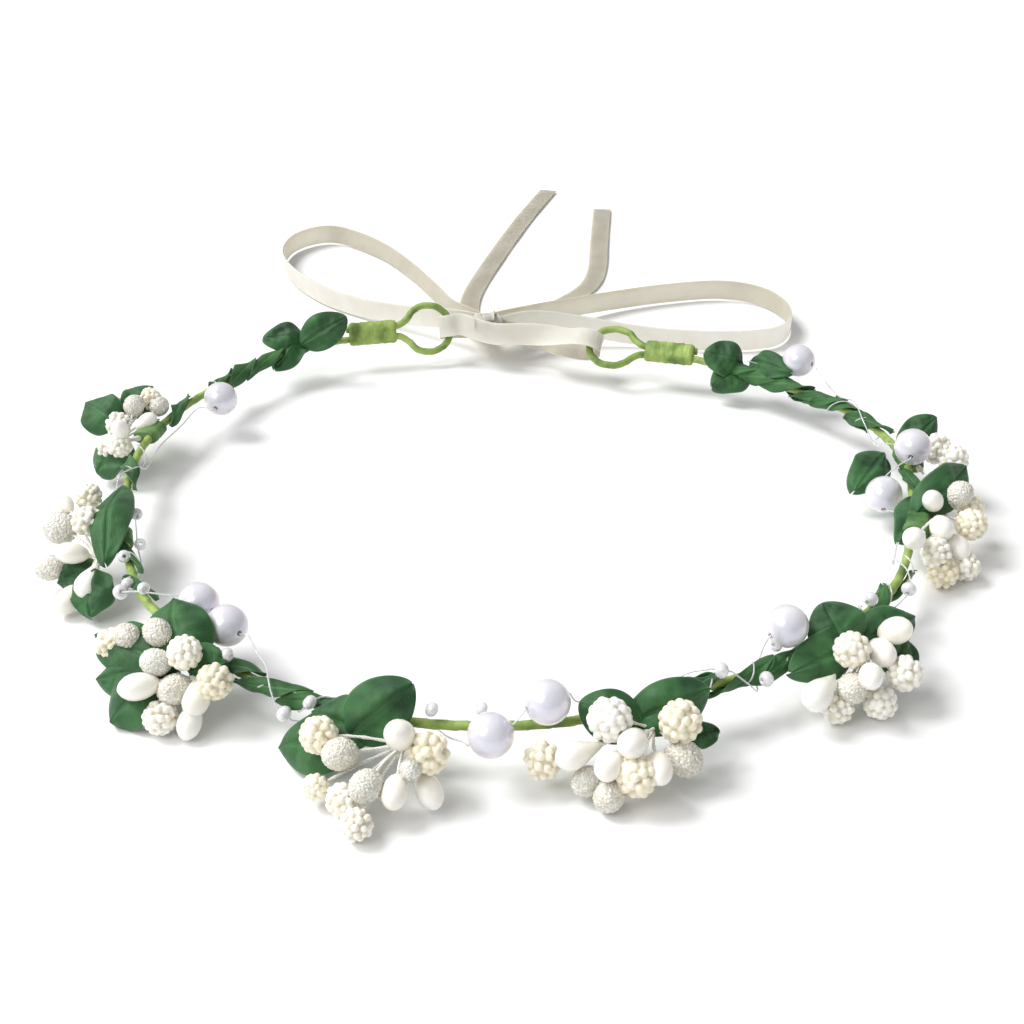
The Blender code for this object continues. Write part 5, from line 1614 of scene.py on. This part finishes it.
def add_bead(shape, middle, axis, radius, steps, sides, stretch=1.0, bore=SEED_BORE_RADIUS):
    """A pierced ball; the tone's height is 0 in the bore and 1 on the ball."""
    profile = bead_outline(radius, steps, stretch, bore)
    rings = len(profile)
    heights = [0.0 if i >= steps else min(1.0, 0.1 + 3.0 * min(i, steps - 1 - i) / steps)
               for i in range(rings)]
    corners = turned_corners(middle, axis, profile, sides)
    tone = [(0.5, height) for height in heights for k in range(sides)]
    faces = ring_faces(rings, sides)
    last = (rings - 1) * sides
    faces += [(last + k, last + (k + 1) % sides, (k + 1) % sides, k) for k in range(sides)]
    shape.add(corners, faces, None, tone)


PEARL_STEPS = 27
PEARL_SIDES = 48
SEED_STEPS = 13
SEED_SIDES = 28
SEED_STRETCH = 0.85
SEED_PLACES = [(-59.5, 2, 1.6), (-55, 0.5, 3.6), (-36, 1, 3.5), (-22.9, 2.5, 2.3), (-8.3, 0.1, 3.4),
               (-2.6, -0.7, 3.4), (32.8, 3.2, 0.6), (37, -2, 3.2), (53.5, 0.2, 3.2), (-79, -3, 1.6),
               (-70, -3, 1.4), (-66, 1, 2.6)]
for index, (bearing, out_mm, up_mm, bead) in enumerate(THREAD_ROUTE):
    if not bead:
        continue
    middle, axis = bead_axis(index)
    one = Shape()
    if bead.startswith("pearl"):
        add_bead(one, middle, axis, PEARL_RADIUS, PEARL_STEPS, PEARL_SIDES, bore=PEARL_BORE_RADIUS)
        finished("lacquered_" + bead, one, [PEARL_LACQUER], [bead], body=bead)
    else:
        add_bead(one, middle, axis, SEED_RADIUS, SEED_STEPS, SEED_SIDES, SEED_STRETCH)
        finished("clear_" + bead, one, [CLEAR_BEAD], [bead])
few = Shape()
chance = random.Random(7)
for bearing, out_mm, up_mm in SEED_PLACES:
    way = (direction(bearing)[1] + Vector((0, 0, chance.uniform(-0.8, 0.8)))).normalized()
    radius = SEED_RADIUS * chance.uniform(0.8, 1.0)
    add_bead(few, near_hoop(bearing, out_mm, up_mm), way, radius, SEED_STEPS, SEED_SIDES, SEED_STRETCH)
finished("clear_seed_beads_between", few, [CLEAR_BEAD])

# %% [markdown]
# ## The table and the light
#
# The crown is shown on a white table under one large soft light, above it and behind it to the left. Its
# shadows fall to the right and towards us, grey and without hard edges. A sun lamp as wide as a studio
# softbox does this evenly over the whole table, and a plain world fills the shadows. A second, weak
# softbox stands in front on the left. It gives the pearls their window of light and lifts the near sides
# of the berries. The standard view keeps white as white.

# %% White table, a wide light and a small one
table = Finish("white_table", Roughness=0.6, Specular_IOR_Level=0.2)
faint = table.ramp(table.grain(40.0), [(0.3, (0.90, 0.90, 0.90)), (0.7, (0.93, 0.93, 0.93))])
table_finish = table.wear(Base_Color=faint)
table_mesh = bpy.data.meshes.new("table")
table_mesh.from_pydata([(-4, -4, 0), (4, -4, 0), (4, 4, 0), (-4, 4, 0)], [], [(0, 1, 2, 3)])
table_mesh.materials.append(table_finish)
table_top = bpy.data.objects.new("table", table_mesh)
bpy.context.collection.objects.link(table_top)

SUN_FROM = Vector((-0.68, 0.24, 0.9))
WORLD_LIGHT = 0.45
lamp = bpy.data.lights.new("soft_light", "SUN")
lamp.energy = 2.75
lamp.angle = math.radians(28)
light = bpy.data.objects.new("soft_light", lamp)
bpy.context.collection.objects.link(light)
light.rotation_euler = SUN_FROM.to_track_quat("Z", "Y").to_euler()

softbox = bpy.data.lights.new("front_softbox", "AREA")
softbox.shape = "RECTANGLE"
softbox.size = 0.5
softbox.size_y = 0.45
softbox.energy = 2.4
box_light = bpy.data.objects.new("front_softbox", softbox)
bpy.context.collection.objects.link(box_light)
box_light.location = (-0.45, -0.38, 0.55)
box_light.rotation_euler = (box_light.location - HOOP_MIDDLE).to_track_quat("Z", "Y").to_euler()

world = bpy.data.worlds.new("plain_world")
world.use_nodes = True
world.node_tree.nodes["Background"].inputs[0].default_value = (1.0, 1.0, 1.0, 1.0)
world.node_tree.nodes["Background"].inputs[1].default_value = WORLD_LIGHT
bpy.context.scene.world = world
bpy.context.scene.view_settings.view_transform = "Standard"
print("light from, degrees above the table:", round(math.degrees(math.asin(SUN_FROM.normalized().z))))
